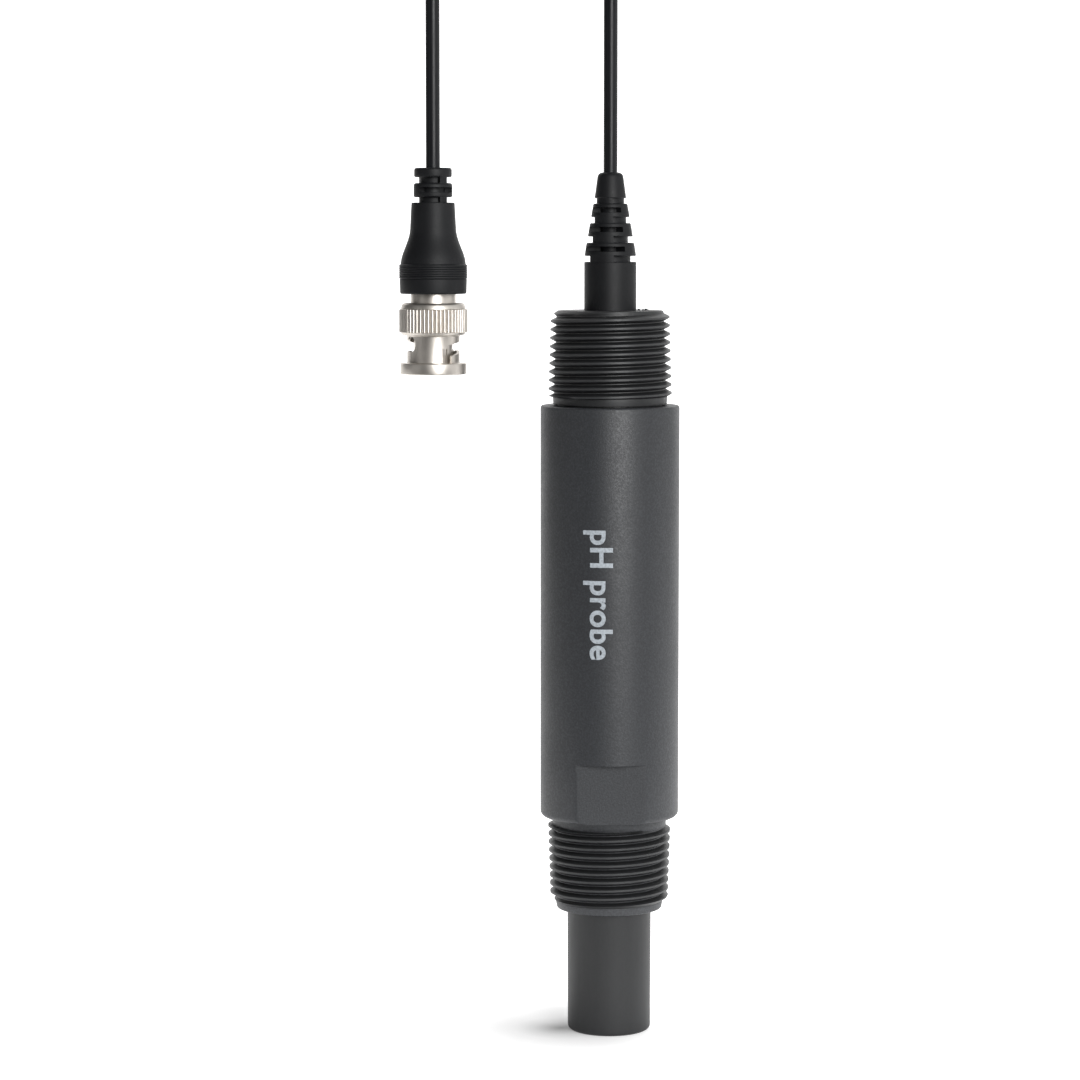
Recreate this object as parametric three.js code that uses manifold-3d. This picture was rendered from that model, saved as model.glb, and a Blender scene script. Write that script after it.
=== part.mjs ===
// Inline water-quality (pH) probe with a pipe thread at each end, a moulded strain relief and a
// coaxial lead that ends in a bayonet plug.  Millimetres, +Z up.  The origin is the centre of the
// process thread's end face: the sensing tip hangs below it, and barrel, cap and lead rise above it.
import * as THREE from 'three';
import { mergeVertices } from 'three/addons/utils/BufferGeometryUtils.js';
import Module from 'manifold-3d';

const wasm = await Module();
wasm.setup();

// ---- clearances and mesh fineness ---------------------------------------------------------------
const fitGap = 0.2;            // between pieces that are pressed, glued or moulded together
const runGap = 0.3;            // between pieces that turn or slide, and where solids are cut to fit
const roundSides = 36;         // facets round the probe
const plugSides = 24;          // facets round the plug
const wireSides = 8;           // facets round a wire or the lead
const arcSteps = 3;            // facets in a rounded edge

// ---- pipe thread, 3/4 inch taper, 14 threads to the inch, right hand ----------------------------
const threadPitch = 25.4 / 14;
const threadLargeDiameter = 26.67;
const threadTaper = 1 / 16;    // on the diameter
const threadDepth = 1.25;
const threadSides = 24;
const threadStepsPerTurn = 4;
const threadCoreDepth = 2.2;   // the solid core inside a thread lies this far below its crests

// ---- housing: tip sleeve, process thread and barrel in one moulding -----------------------------
const tipLength = 27.0;
const tipDiameter = 18.0;
const tipTopDiameter = 18.2;
const tipRimRadius = 1.0;
const tipBoreDiameter = 13.0;
const stubLength = 20.2;       // process thread, from its end face to the barrel's shoulder
const stubLeadLength = 1.8;    // plain lead below the first crest
const stubLeadDiameter = 23.4;
const neckLength = 2.0;        // plain neck between the last crest and the shoulder
const neckDiameter = 24.7;
const barrelLength = 89.4;
const barrelDiameter = 30.0;
const barrelWall = 3.8;
const shoulderRadius = 1.2;
const barrelTopRadius = 0.5;
const flatHeight = 13.0;
const acrossFlats = 26.0;

// ---- sensing parts ------------------------------------------------------------------------------
const stemDiameter = 7.0;
const stemWall = 0.7;
const stemLength = 76.0;
const bulbDiameter = 8.6;
const bulbWall = 0.4;
const bulbRecess = 5.2;        // tip rim to the lowest point of the glass
const junctionLength = 5.5;
const junctionSeatWidth = 0.7; // ledge in the bore that the porous ring rests on
const spacerLength = 5.0;
const spacerSlots = 4;
const spacerSlotWidth = 2.0;
const sealLength = 8.0;
const wireDiameter = 0.8;
const leadDiameter = 1.2;
const referenceOffset = 7.5;   // reference wire, from the probe's axis
const pottingLength = 16.0;
const leadBendShare = 0.33;    // share of the reference lead that stays straight at either end

// ---- rear cap with its own thread ---------------------------------------------------------------
const capThreadLength = 20.4;
const capNeckDiameter = 24.8;
const capChamfer = 1.0;
const capSpigotLength = 12.5;
const ringGrooveWidth = 2.0;
const ringGrooveDepth = 1.5;
const bootSeatDepth = 8.0;

// ---- strain relief boot: foot, three rings between four grooves, cone ---------------------------
const bootFootDiameter = 11.2;
const bootFootHeight = 10.4;
const bootRings = [
  { groove: 1.25, core: 8.7, height: 2.85, low: 11.1, high: 10.2 },
  { groove: 1.3, core: 7.3, height: 2.9, low: 9.7, high: 8.7 },
  { groove: 1.25, core: 6.8, height: 2.9, low: 8.3, high: 7.3 },
];
const bootLastGroove = 1.15;
const bootLastCore = 5.9;
const bootConeHeight = 5.5;
const bootConeLow = 6.8;
const bootConeHigh = 5.2;
const webWidth = 4.0;          // the grooves stop at two opposite webs
const webTurn = -23;           // degrees from front and back to the webs

// ---- lead ---------------------------------------------------------------------------------------
const leadJacketDiameter = 3.0;
const riserLength = 62.5;      // boot to the middle of the coil
const dropLength = 61.9;       // middle of the coil to the plug
const coilOuterTurn = 18.69;   // radius of the outermost turn's centreline
const turnPitch = 3.05;        // a turn to the next, beside it and over it
const turnsAcross = 3;
const coilLayers = 8;
const tieWidth = 4.0;
const tieThickness = 1.2;

// ---- plug, heights from its mating end ----------------------------------------------------------
const nutFlangeWidth = 1.4;    // how far the flange stands out from the nut's barrel
const nutFlangeHeight = 2.35;
const nutWall = 0.6;
const nutPocketWall = 0.5;     // nut wall outside the rings, under the knurl's valleys
const knurlStart = 8.8;
const knurlEnd = 13.5;
const knurlDepth = 0.35;
const knurlRidges = 50;
const nutLength = 14.85;
const slotWidth = 2.4;
const slotEntryAzimuth = -57;
const slotTurn = 90;
const slotEntryHeight = 4.9;
const slotDetentHeight = 6.3;
const plugBodyWall = 0.45;     // body wall round the outer contact
const plugBodyLength = 11.8;
const plugFaceHeight = 8.6;    // where the gasket seats
const gasketHeight = 1.1;
const ringHeight = 0.8;
const ringStart = 9.9;
const ringWidth = 1.3;         // how far retaining ring and washers stand out from the body
const waveHeight = 0.8;
const thrustHeight = 0.4;
const pocketClearance = 0.6;   // room in front of the retaining ring for the nut's travel
const contactDiameter = 8.1;
const contactWall = 0.5;
const contactStart = 1.4;
const contactDepth = 3.4;      // how far the contact sleeve is pressed into the body
const contactSlots = 4;
const contactSlotLength = 5.0;
const contactSlotWidth = 0.4;
const insulatorStart = 2.2;
const insulatorNoseBore = 4.9;
const insulatorWebStart = 7.0;
const insulatorEnd = 16.0;
const pinDiameter = 1.35;
const pinStart = 1.9;
const pinLength = 15.5;
const ferruleDiameter = 6.0;
const ferruleWall = 0.4;
const ferruleLength = 6.5;
const plugBootStart = 16.75;
const plugBandWall = 2.1;      // boot wall round the plug body
const plugBandHeight = 3.15;
const plugRibStep = 0.1;       // how far the ribs stand out from the band
const plugRibHeight = 3.05;
const plugFlareHeight = 7.7;
const plugWaistDiameter = 9.6;
const plugWaistHeight = 5.05;
const plugWaistTop = 8.9;
const plugRings = [
  { groove: 1.1, core: 5.8, height: 2.95, ring: 8.05 },
  { groove: 1.2, core: 5.4, height: 1.95, ring: 7.85 },
];

// ---- plug diameters, from the outer contact outwards -----------------------------------------------
const plugBodyDiameter = contactDiameter + 2 * (fitGap + plugBodyWall);
const nutBoreDiameter = plugBodyDiameter + 2 * fitGap;
const nutBarrelDiameter = nutBoreDiameter + 2 * nutWall;
const nutFlangeDiameter = nutBarrelDiameter + 2 * nutFlangeWidth;
const ringDiameter = plugBodyDiameter + 2 * ringWidth;
const pocketRadius = ringDiameter / 2 + runGap;
const knurlDiameter = 2 * (pocketRadius + nutPocketWall + knurlDepth);
const plugBandDiameter = nutBoreDiameter + 2 * plugBandWall;
const plugRibDiameter = plugBandDiameter + 2 * plugRibStep;

// ---- heights worked out from the sizes ----------------------------------------------------------
const shoulderZ = stubLength;
const barrelTopZ = shoulderZ + barrelLength;
const capTopZ = barrelTopZ + capThreadLength;
const boreRadius = tipBoreDiameter / 2 + junctionSeatWidth;
const chamberRadius = barrelDiameter / 2 - barrelWall;
const bulbCentreZ = -tipLength + bulbRecess + bulbDiameter / 2;
const bulbNeckHeight = Math.sqrt((bulbDiameter / 2) ** 2 - (stemDiameter / 2 - stemWall) ** 2);
const stemStartZ = bulbCentreZ + bulbNeckHeight + runGap;
const stemEndZ = stemStartZ + stemLength;
const junctionZ = stemStartZ + fitGap;
const chamberFloorZ = shoulderZ + neckLength;
const sealTopZ = stemEndZ - neckLength;
const bootTopZ = capTopZ + bootFootHeight + bootLastGroove + bootConeHeight
  + bootRings.reduce((sum, ring) => sum + ring.groove + ring.height, 0);
const coilZ = bootTopZ + riserLength;
const coilX = -coilOuterTurn;
const dropX = -2 * coilOuterTurn;
const dropY = -turnPitch * (coilLayers - 1);
const plugBootHeight = plugBandHeight + plugRibHeight + plugFlareHeight + plugWaistHeight
  + plugRings.reduce((sum, ring) => sum + ring.groove + ring.height, 0);
const plugZ = coilZ - dropLength - plugBootHeight - plugBootStart;
const cableEndZ = barrelTopZ - capSpigotLength - neckLength;

// ---- finishes -----------------------------------------------------------------------------------
const finish = (color, roughness, metalness) => (
  new THREE.MeshStandardMaterial({ color, roughness, metalness })
);
const housingGrey = finish(0x4b4d50, 0.62, 0);
const capGrey = finish(0x3b3c3e, 0.6, 0);
const bootBlack = finish(0x2a2b2e, 0.55, 0);
const jacketBlack = finish(0x1d1e20, 0.45, 0);
const sealBlack = finish(0x161616, 0.7, 0);
const glassClear = finish(0xdde8ea, 0.05, 0);
const porousWhite = finish(0xeeeeea, 0.8, 0);
const resinAmber = finish(0x3a2a18, 0.4, 0);
const silver = finish(0xc8c6c0, 0.35, 1);
const nickel = finish(0xc3bdb6, 0.28, 1);
const goldPlate = finish(0xd6b060, 0.25, 1);

// ---- solids -------------------------------------------------------------------------------------
function toSolid(geometry) {
  const bare = geometry.clone();
  bare.deleteAttribute('normal');
  bare.deleteAttribute('uv');
  const merged = mergeVertices(bare, 1e-5);
  const mesh = new wasm.Mesh({
    numProp: 3,
    vertProperties: new Float32Array(merged.attributes.position.array),
    triVerts: new Uint32Array(merged.index.array),
  });
  return new wasm.Manifold(mesh);
}

function toGeometry(solid) {
  const mesh = solid.getMesh();
  const geometry = new THREE.BufferGeometry();
  geometry.setAttribute('position', new THREE.BufferAttribute(mesh.vertProperties, 3));
  geometry.setIndex(new THREE.BufferAttribute(mesh.triVerts, 1));
  geometry.computeVertexNormals();
  return geometry;
}

const join = (first, ...rest) => (
  toGeometry(rest.reduce((solid, next) => solid.add(toSolid(next)), toSolid(first)))
);
const cut = (first, ...rest) => (
  toGeometry(rest.reduce((solid, next) => solid.subtract(toSolid(next)), toSolid(first)))
);

// A turned solid: [radius, height] points, bottom to top outside, then back down inside.
function turned(profile, sides = roundSides) {
  const outline = profile.map(([radius, height]) => new THREE.Vector2(radius, height));
  outline.push(outline[0].clone());
  const geometry = new THREE.LatheGeometry(outline, sides);
  geometry.rotateX(Math.PI / 2);
  return geometry;
}

// A closed cylinder or cone standing from z = low to z = high.
function rod(lowDiameter, highDiameter, low, high, sides = roundSides) {
  return turned([[0, low], [lowDiameter / 2, low], [highDiameter / 2, high], [0, high]], sides);
}

// A flat ring from z = low to z = high.
function sleeve(outerDiameter, innerDiameter, low, high, sides = roundSides) {
  const outer = outerDiameter / 2;
  const inner = innerDiameter / 2;
  return turned([[inner, low], [outer, low], [outer, high], [inner, high]], sides);
}

// Points of a quarter-round edge about a centre, from one angle to another in degrees.
function edgeArc(centreRadius, centreHeight, radius, from, to) {
  const points = [];
  for (let step = 0; step <= arcSteps; step += 1) {
    const angle = THREE.MathUtils.degToRad(from + (to - from) * step / arcSteps);
    points.push([centreRadius + radius * Math.cos(angle), centreHeight + radius * Math.sin(angle)]);
  }
  return points;
}

// A round ring of circular section, such as an O-ring.
function roundRing(meanDiameter, sectionDiameter, height, sides = roundSides) {
  const points = [];
  const count = 6;
  for (let step = 0; step < count; step += 1) {
    const angle = 2 * Math.PI * step / count;
    points.push([
      meanDiameter / 2 + sectionDiameter / 2 * Math.cos(angle),
      height + sectionDiameter / 2 * Math.sin(angle),
    ]);
  }
  return turned(points, sides);
}

// A round tube that follows points on a smooth curve, closed at both ends.
function tubeAlong(points, diameter, steps) {
  const section = new THREE.Shape();
  section.absarc(0, 0, diameter / 2, 0, 2 * Math.PI, false);
  const path = new THREE.CatmullRomCurve3(points.map((point) => new THREE.Vector3(...point)));
  return new THREE.ExtrudeGeometry(section, {
    steps, curveSegments: wireSides, extrudePath: path,
  });
}

function box(width, depth, height, x, y, z) {
  const geometry = new THREE.BoxGeometry(width, depth, height);
  geometry.translate(x, y, z);
  return geometry;
}

// A tapered thread from z = low to z = high whose crests reach the large diameter at largeEnd.
// The ridge climbs counter-clockwise seen from above, and fades out over half a turn at each end.
function threadRod(low, high, largeEnd) {
  const rows = Math.round((high - low) / threadPitch * threadStepsPerTurn);
  const geometry = new THREE.CylinderGeometry(1, 1, high - low, threadSides, rows);
  geometry.rotateX(Math.PI / 2);
  geometry.translate(0, 0, (low + high) / 2);
  const position = geometry.attributes.position;
  for (let index = 0; index < position.count; index += 1) {
    const x = position.getX(index);
    const y = position.getY(index);
    const z = position.getZ(index);
    const turn = Math.atan2(y, x) / (2 * Math.PI);
    const phase = z / threadPitch - turn;
    const ridge = 1 - Math.abs(2 * (phase - Math.floor(phase)) - 1);
    const endDistance = Math.min(z - low, high - z);
    const fade = Math.min(1, endDistance / (threadPitch / 2));
    const crest = threadLargeDiameter / 2 - Math.abs(z - largeEnd) * threadTaper / 2;
    const radius = crest - threadDepth + threadDepth * ridge * fade;
    const scale = Math.hypot(x, y) > 0.5 ? radius : 0;
    position.setXY(index, x * scale, y * scale);
  }
  return geometry;
}

const model = new THREE.Group();

function piece(name, geometry, material, parent = model) {
  const mesh = new THREE.Mesh(geometry, material);
  mesh.name = name;
  parent.add(mesh);
  return mesh;
}

// ---- housing ------------------------------------------------------------------------------------
function housing() {
  const barrelRadius = barrelDiameter / 2;
  const tipRadius = tipDiameter / 2;
  const coreRadius = threadLargeDiameter / 2 - threadCoreDepth;
  const outside = turned([
    [0, -tipLength],
    ...edgeArc(tipRadius - tipRimRadius, -tipLength + tipRimRadius, tipRimRadius, -90, 0),
    [tipTopDiameter / 2, 0],
    [stubLeadDiameter / 2, 0],
    [stubLeadDiameter / 2, stubLeadLength],
    [coreRadius, stubLeadLength],
    [coreRadius, shoulderZ - neckLength],
    [neckDiameter / 2, shoulderZ - neckLength],
    [neckDiameter / 2, shoulderZ],
    ...edgeArc(barrelRadius - shoulderRadius, shoulderZ + shoulderRadius, shoulderRadius, -90, 0),
    ...edgeArc(barrelRadius - barrelTopRadius, barrelTopZ - barrelTopRadius, barrelTopRadius, 0, 90),
    [0, barrelTopZ],
  ]);
  const threadEndZ = shoulderZ - neckLength;
  const thread = threadRod(stubLeadLength - runGap, threadEndZ + runGap, threadEndZ);
  const bore = turned([
    [0, -tipLength - 1],
    [tipBoreDiameter / 2, -tipLength - 1],
    [tipBoreDiameter / 2, junctionZ - fitGap],
    [boreRadius, junctionZ - fitGap],
    [boreRadius, chamberFloorZ],
    [chamberRadius, chamberFloorZ],
    [chamberRadius, barrelTopZ + 1],
    [0, barrelTopZ + 1],
  ]);
  const flatDepth = barrelRadius;
  const flats = [-1, 1].map((side) => box(
    barrelDiameter,
    flatDepth,
    flatHeight + shoulderRadius,
    0,
    side * (acrossFlats / 2 + flatDepth / 2),
    shoulderZ + (flatHeight - shoulderRadius) / 2,
  ));
  return cut(join(outside, thread), bore, ...flats);
}

// ---- rear cap: spigot with a ring groove, neck, thread, seat for the boot -----------------------
function rearCap() {
  const spigotRadius = chamberRadius - fitGap;
  const spigotZ = barrelTopZ - capSpigotLength;
  const grooveZ = barrelTopZ - capSpigotLength / 2;
  const neckRadius = capNeckDiameter / 2;
  const coreRadius = threadLargeDiameter / 2 - threadCoreDepth;
  const topRadius = threadLargeDiameter / 2 - threadDepth - capThreadLength * threadTaper / 2 + fitGap * 2;
  const outside = turned([
    [0, spigotZ],
    [spigotRadius, spigotZ],
    [spigotRadius, grooveZ - ringGrooveWidth / 2],
    [spigotRadius - ringGrooveDepth, grooveZ - ringGrooveWidth / 2],
    [spigotRadius - ringGrooveDepth, grooveZ + ringGrooveWidth / 2],
    [spigotRadius, grooveZ + ringGrooveWidth / 2],
    [spigotRadius, barrelTopZ + fitGap],
    [neckRadius, barrelTopZ + fitGap],
    [neckRadius, barrelTopZ + neckLength],
    [coreRadius, barrelTopZ + neckLength],
    [coreRadius, capTopZ - capChamfer - runGap],
    [topRadius, capTopZ - capChamfer - runGap],
    [topRadius - capChamfer / 2, capTopZ],
    [0, capTopZ],
  ]);
  const neckTopZ = barrelTopZ + neckLength;
  const thread = threadRod(neckTopZ - runGap, capTopZ - capChamfer, neckTopZ);
  const seat = rod(bootFootDiameter + 2 * fitGap, bootFootDiameter + 2 * fitGap,
    capTopZ - bootSeatDepth, capTopZ + 1);
  const cableHole = rod(leadJacketDiameter + 2 * runGap, leadJacketDiameter + 2 * runGap,
    spigotZ - 1, capTopZ);
  return cut(join(outside, thread), seat, cableHole);
}

// ---- strain relief boot -------------------------------------------------------------------------
function strainRelief() {
  const solids = [];
  const footTop = capTopZ + bootFootHeight;
  const foot = rod(bootFootDiameter, bootFootDiameter, capTopZ - bootSeatDepth + fitGap, footTop);
  let z = footTop;
  bootRings.forEach((ring) => {
    const core = ring.core;
    solids.push(rod(core, core, z - 1, z + ring.groove + 1));
    const web = box(webWidth, ring.low - 1, ring.groove + 2, 0, 0, z + ring.groove / 2);
    solids.push(web.rotateZ(THREE.MathUtils.degToRad(webTurn)));
    z += ring.groove;
    solids.push(rod(ring.low, ring.high, z, z + ring.height));
    z += ring.height;
  });
  solids.push(rod(bootLastCore, bootLastCore, z - 1, z + bootLastGroove + 1));
  z += bootLastGroove;
  solids.push(rod(bootConeLow, bootConeHigh, z, z + bootConeHeight));
  const cableHole = rod(leadJacketDiameter + 2 * runGap, leadJacketDiameter + 2 * runGap,
    capTopZ - bootSeatDepth - 1, capTopZ + bootFootHeight / 2 + runGap);
  return cut(join(foot, ...solids), cableHole);
}

// ---- sensing parts ------------------------------------------------------------------------------
function sensingBulb() {
  const outer = bulbDiameter / 2;
  const inner = outer - bulbWall;
  const throat = stemDiameter / 2 - stemWall;
  const points = [];
  const steps = 6;
  const openAngle = Math.asin(throat / outer);
  for (let step = 0; step <= steps; step += 1) {
    const angle = Math.PI - (Math.PI - openAngle) * step / steps;
    points.push([outer * Math.sin(angle), bulbCentreZ + outer * Math.cos(angle)]);
  }
  const innerOpen = Math.asin((throat - bulbWall / 2) / inner);
  for (let step = steps; step >= 0; step -= 1) {
    const angle = Math.PI - (Math.PI - innerOpen) * step / steps;
    points.push([inner * Math.sin(angle), bulbCentreZ + inner * Math.cos(angle)]);
  }
  points[0][0] = 0;
  points[points.length - 1][0] = 0;
  return turned(points, plugSides);
}

function stemSpacer() {
  const low = chamberFloorZ - spacerLength - neckLength;
  const ring = sleeve(2 * (boreRadius - fitGap), stemDiameter + 2 * fitGap, low, low + spacerLength);
  const notches = [];
  for (let index = 0; index < spacerSlots; index += 1) {
    const notch = box(boreRadius, spacerSlotWidth, spacerLength + 2, 0, 0, low + spacerLength / 2);
    notch.translate(boreRadius / 2 + stemDiameter / 2 + spacerSlotWidth, 0, 0);
    notch.rotateZ(2 * Math.PI * (index + 0.5) / spacerSlots);
    notches.push(notch);
  }
  return cut(ring, ...notches);
}

function stemSeal() {
  const ring = sleeve(2 * (chamberRadius - fitGap), stemDiameter + 2 * fitGap,
    sealTopZ - sealLength, sealTopZ, plugSides);
  const wireHole = rod(wireDiameter + 2 * runGap, wireDiameter + 2 * runGap,
    sealTopZ - sealLength - 1, sealTopZ + 1, wireSides);
  wireHole.translate(referenceOffset, 0, 0);
  return cut(ring, wireHole);
}

const leadStartZ = stemEndZ + neckLength + runGap;
const leadEndZ = cableEndZ - runGap;
const leadSpread = leadJacketDiameter / 4;
const leadRise = leadEndZ - leadStartZ;
const bendStartZ = leadStartZ + leadRise * leadBendShare;
const bendEndZ = leadEndZ - leadRise * leadBendShare;
const signalRoute = [[-leadSpread, 0, leadStartZ], [-leadSpread, 0, leadEndZ]];
const referenceRoute = [
  [referenceOffset, 0, leadStartZ],
  [referenceOffset, 0, bendStartZ],
  [leadSpread + (referenceOffset - leadSpread) * leadBendShare, 0, bendEndZ],
  [leadSpread + wireDiameter / 8, 0, leadEndZ],
];

function pottingPlug() {
  const low = leadStartZ + neckLength;
  const resin = rod(2 * (chamberRadius - fitGap), 2 * (chamberRadius - fitGap),
    low, low + pottingLength, plugSides);
  const holeDiameter = leadDiameter + 2 * runGap;
  return cut(
    resin,
    tubeAlong(signalRoute, holeDiameter, 1),
    tubeAlong(referenceRoute, holeDiameter, 12),
  );
}

// ---- lead: the coil's outer shape, and the straight tubes that meet it --------------------------
function coilRing(extra) {
  const outer = coilOuterTurn + leadJacketDiameter / 2 + extra;
  const inner = coilOuterTurn - turnPitch * (turnsAcross - 1) - leadJacketDiameter / 2 - extra;
  const front = dropY - leadJacketDiameter / 2 - extra;
  const back = leadJacketDiameter / 2 + extra;
  const ring = turned([[inner, front], [outer, front], [outer, back], [inner, back]], plugSides);
  ring.rotateX(-Math.PI / 2);
  ring.translate(coilX, 0, coilZ);
  return ring;
}

function leadRun(x, y, low) {
  const run = tubeAlong([[x, y, low], [x, y, coilZ]], leadJacketDiameter, 1);
  return cut(run, coilRing(runGap));
}

// The tie is a flat band round the bundle, at the lowest point of the coil.
function cableTie() {
  const halfThick = turnPitch * (turnsAcross - 1) / 2 + leadJacketDiameter / 2 + runGap;
  const back = leadJacketDiameter / 2 + runGap;
  const front = dropY - back;
  const halfDeep = (back - front) / 2;
  const centreZ = coilZ - coilOuterTurn + turnPitch * (turnsAcross - 1) / 2;
  const centreY = (back + front) / 2;
  const bandBox = box(tieWidth, 2 * (halfDeep + tieThickness), 2 * (halfThick + tieThickness),
    coilX, centreY, centreZ);
  const head = box(tieWidth + tieThickness, 2 * tieThickness, tieWidth + tieThickness,
    coilX, back + 2 * tieThickness, centreZ);
  const hollow = box(tieWidth + 2, 2 * halfDeep, 2 * halfThick, coilX, centreY, centreZ);
  return cut(join(bandBox, head), hollow, coilRing(runGap));
}

// ---- plug ---------------------------------------------------------------------------------------
function knurledBand() {
  const outline = new THREE.Shape();
  for (let index = 0; index < 2 * knurlRidges; index += 1) {
    const angle = Math.PI * index / knurlRidges;
    const radius = knurlDiameter / 2 - (index % 2 ? knurlDepth : 0);
    const draw = index === 0 ? 'moveTo' : 'lineTo';
    outline[draw](radius * Math.cos(angle), radius * Math.sin(angle));
  }
  outline.closePath();
  const band = new THREE.ExtrudeGeometry(outline, { depth: knurlEnd - knurlStart, bevelEnabled: false });
  band.translate(0, 0, knurlStart);
  return band;
}

function bayonetSlot(azimuth) {
  const route = [];
  const middle = (nutBoreDiameter + nutBarrelDiameter) / 4;
  const place = (degrees, height) => {
    const angle = THREE.MathUtils.degToRad(degrees);
    route.push([middle * Math.cos(angle), middle * Math.sin(angle), height]);
  };
  place(azimuth, -1);
  place(azimuth, slotEntryHeight / 2);
  const steps = 8;
  for (let step = 0; step <= steps; step += 1) {
    const share = step / steps;
    const height = slotEntryHeight + (slotDetentHeight - slotEntryHeight) * share;
    place(azimuth + slotTurn * share, height);
  }
  return tubeAlong(route, slotWidth, 12);
}

function detentHole(azimuth) {
  const hole = new THREE.CylinderGeometry(slotWidth * 0.6, slotWidth * 0.6, nutBarrelDiameter / 4, 12);
  hole.rotateZ(Math.PI / 2);
  hole.translate((nutBoreDiameter + nutBarrelDiameter) / 4, 0, slotDetentHeight);
  hole.rotateZ(THREE.MathUtils.degToRad(azimuth + slotTurn));
  return hole;
}

const ringEnd = ringStart + ringHeight;
const waveStart = ringEnd + fitGap / 2;
const waveEnd = waveStart + waveHeight;
const thrustStart = waveEnd + fitGap / 4;
const thrustEnd = thrustStart + thrustHeight;
const pocketStart = ringStart - pocketClearance;
const pocketEnd = thrustEnd + fitGap / 2;
const rearBoreRadius = plugBodyDiameter / 2 + runGap;

function couplingNut() {
  const crest = knurlDiameter / 2 - knurlDepth;
  const chamferStart = knurlStart - (knurlDiameter - nutBarrelDiameter) / 6;
  const domeHeight = nutLength - knurlEnd;
  const rearRadius = rearBoreRadius + knurlDepth;
  const outside = turned([
    [nutBoreDiameter / 2, 0],
    [nutFlangeDiameter / 2, 0],
    [nutFlangeDiameter / 2, nutFlangeHeight],
    [nutBarrelDiameter / 2, nutFlangeHeight],
    [nutBarrelDiameter / 2, chamferStart],
    [crest, knurlStart],
    [crest, knurlEnd],
    [(crest * 2 + rearRadius) / 3, knurlEnd + domeHeight * 0.7],
    [rearRadius, nutLength],
    [rearBoreRadius, nutLength],
    [rearBoreRadius, pocketEnd],
    [nutBoreDiameter / 2, pocketEnd],
  ], plugSides);
  const middle = cut(knurledBand(), rod(2 * crest - 1, 2 * crest - 1, 0, nutLength, plugSides));
  const pocket = sleeve(2 * pocketRadius, nutBoreDiameter - 2, pocketStart, pocketEnd, plugSides);
  const slots = [slotEntryAzimuth, slotEntryAzimuth + 180].flatMap(
    (azimuth) => [bayonetSlot(azimuth), detentHole(azimuth)],
  );
  return cut(join(outside, middle), pocket, ...slots);
}

function plugBody() {
  const outer = plugBodyDiameter / 2;
  const groove = ringStart - fitGap / 2;
  const contactBore = contactDiameter / 2 + fitGap;
  const bodyEnd = plugFaceHeight + plugBodyLength;
  const contactEnd = plugFaceHeight + contactDepth;
  const stemOuter = ferruleDiameter / 2 - ferruleWall - fitGap * 2;
  const insulatorBore = contactBore - contactWall - fitGap;
  return turned([
    [contactBore, plugFaceHeight],
    [outer, plugFaceHeight],
    [outer, groove],
    [outer - contactWall / 2, groove],
    [outer - contactWall / 2, ringEnd + fitGap / 2],
    [outer, ringEnd + fitGap / 2],
    [outer, bodyEnd],
    [stemOuter, bodyEnd],
    [stemOuter, bodyEnd + ferruleLength],
    [leadJacketDiameter / 2 + fitGap / 2, bodyEnd + ferruleLength],
    [leadJacketDiameter / 2 + fitGap / 2, bodyEnd - 2 * fitGap],
    [insulatorBore, bodyEnd - 2 * fitGap],
    [insulatorBore, contactEnd + fitGap],
    [contactBore, contactEnd + fitGap],
  ], plugSides);
}

function outerContact() {
  const end = plugFaceHeight + contactDepth;
  const tube = sleeve(contactDiameter, contactDiameter - 2 * contactWall, contactStart, end, plugSides);
  const slots = [];
  for (let index = 0; index < contactSlots / 2; index += 1) {
    const slot = box(contactDiameter + 2, contactSlotWidth, contactSlotLength, 0, 0,
      contactStart + contactSlotLength / 2 - 0.5);
    slot.rotateZ(Math.PI * (index + 0.5) / (contactSlots / 2));
    slots.push(slot);
  }
  return cut(tube, ...slots);
}

function insulator() {
  const outer = contactDiameter / 2 - contactWall - fitGap / 2;
  const bore = pinDiameter / 2 + fitGap / 2;
  return turned([
    [insulatorNoseBore / 2, insulatorStart],
    [outer, insulatorStart],
    [outer, insulatorEnd],
    [bore, insulatorEnd],
    [bore, insulatorWebStart],
    [insulatorNoseBore / 2, insulatorWebStart],
  ], plugSides);
}

function centrePin() {
  const radius = pinDiameter / 2;
  return turned([
    [0, pinStart],
    [radius / 2, pinStart + radius / 4],
    [radius, pinStart + radius],
    [radius, pinStart + pinLength],
    [0, pinStart + pinLength],
  ], 16);
}

function retainingRing() {
  const bore = plugBodyDiameter - contactWall + 2 * fitGap;
  const ring = sleeve(ringDiameter, bore, ringStart, ringEnd, plugSides);
  return cut(ring, box(ringDiameter, slotWidth, ringHeight + 2, ringDiameter / 2, 0, ringStart));
}

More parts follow.
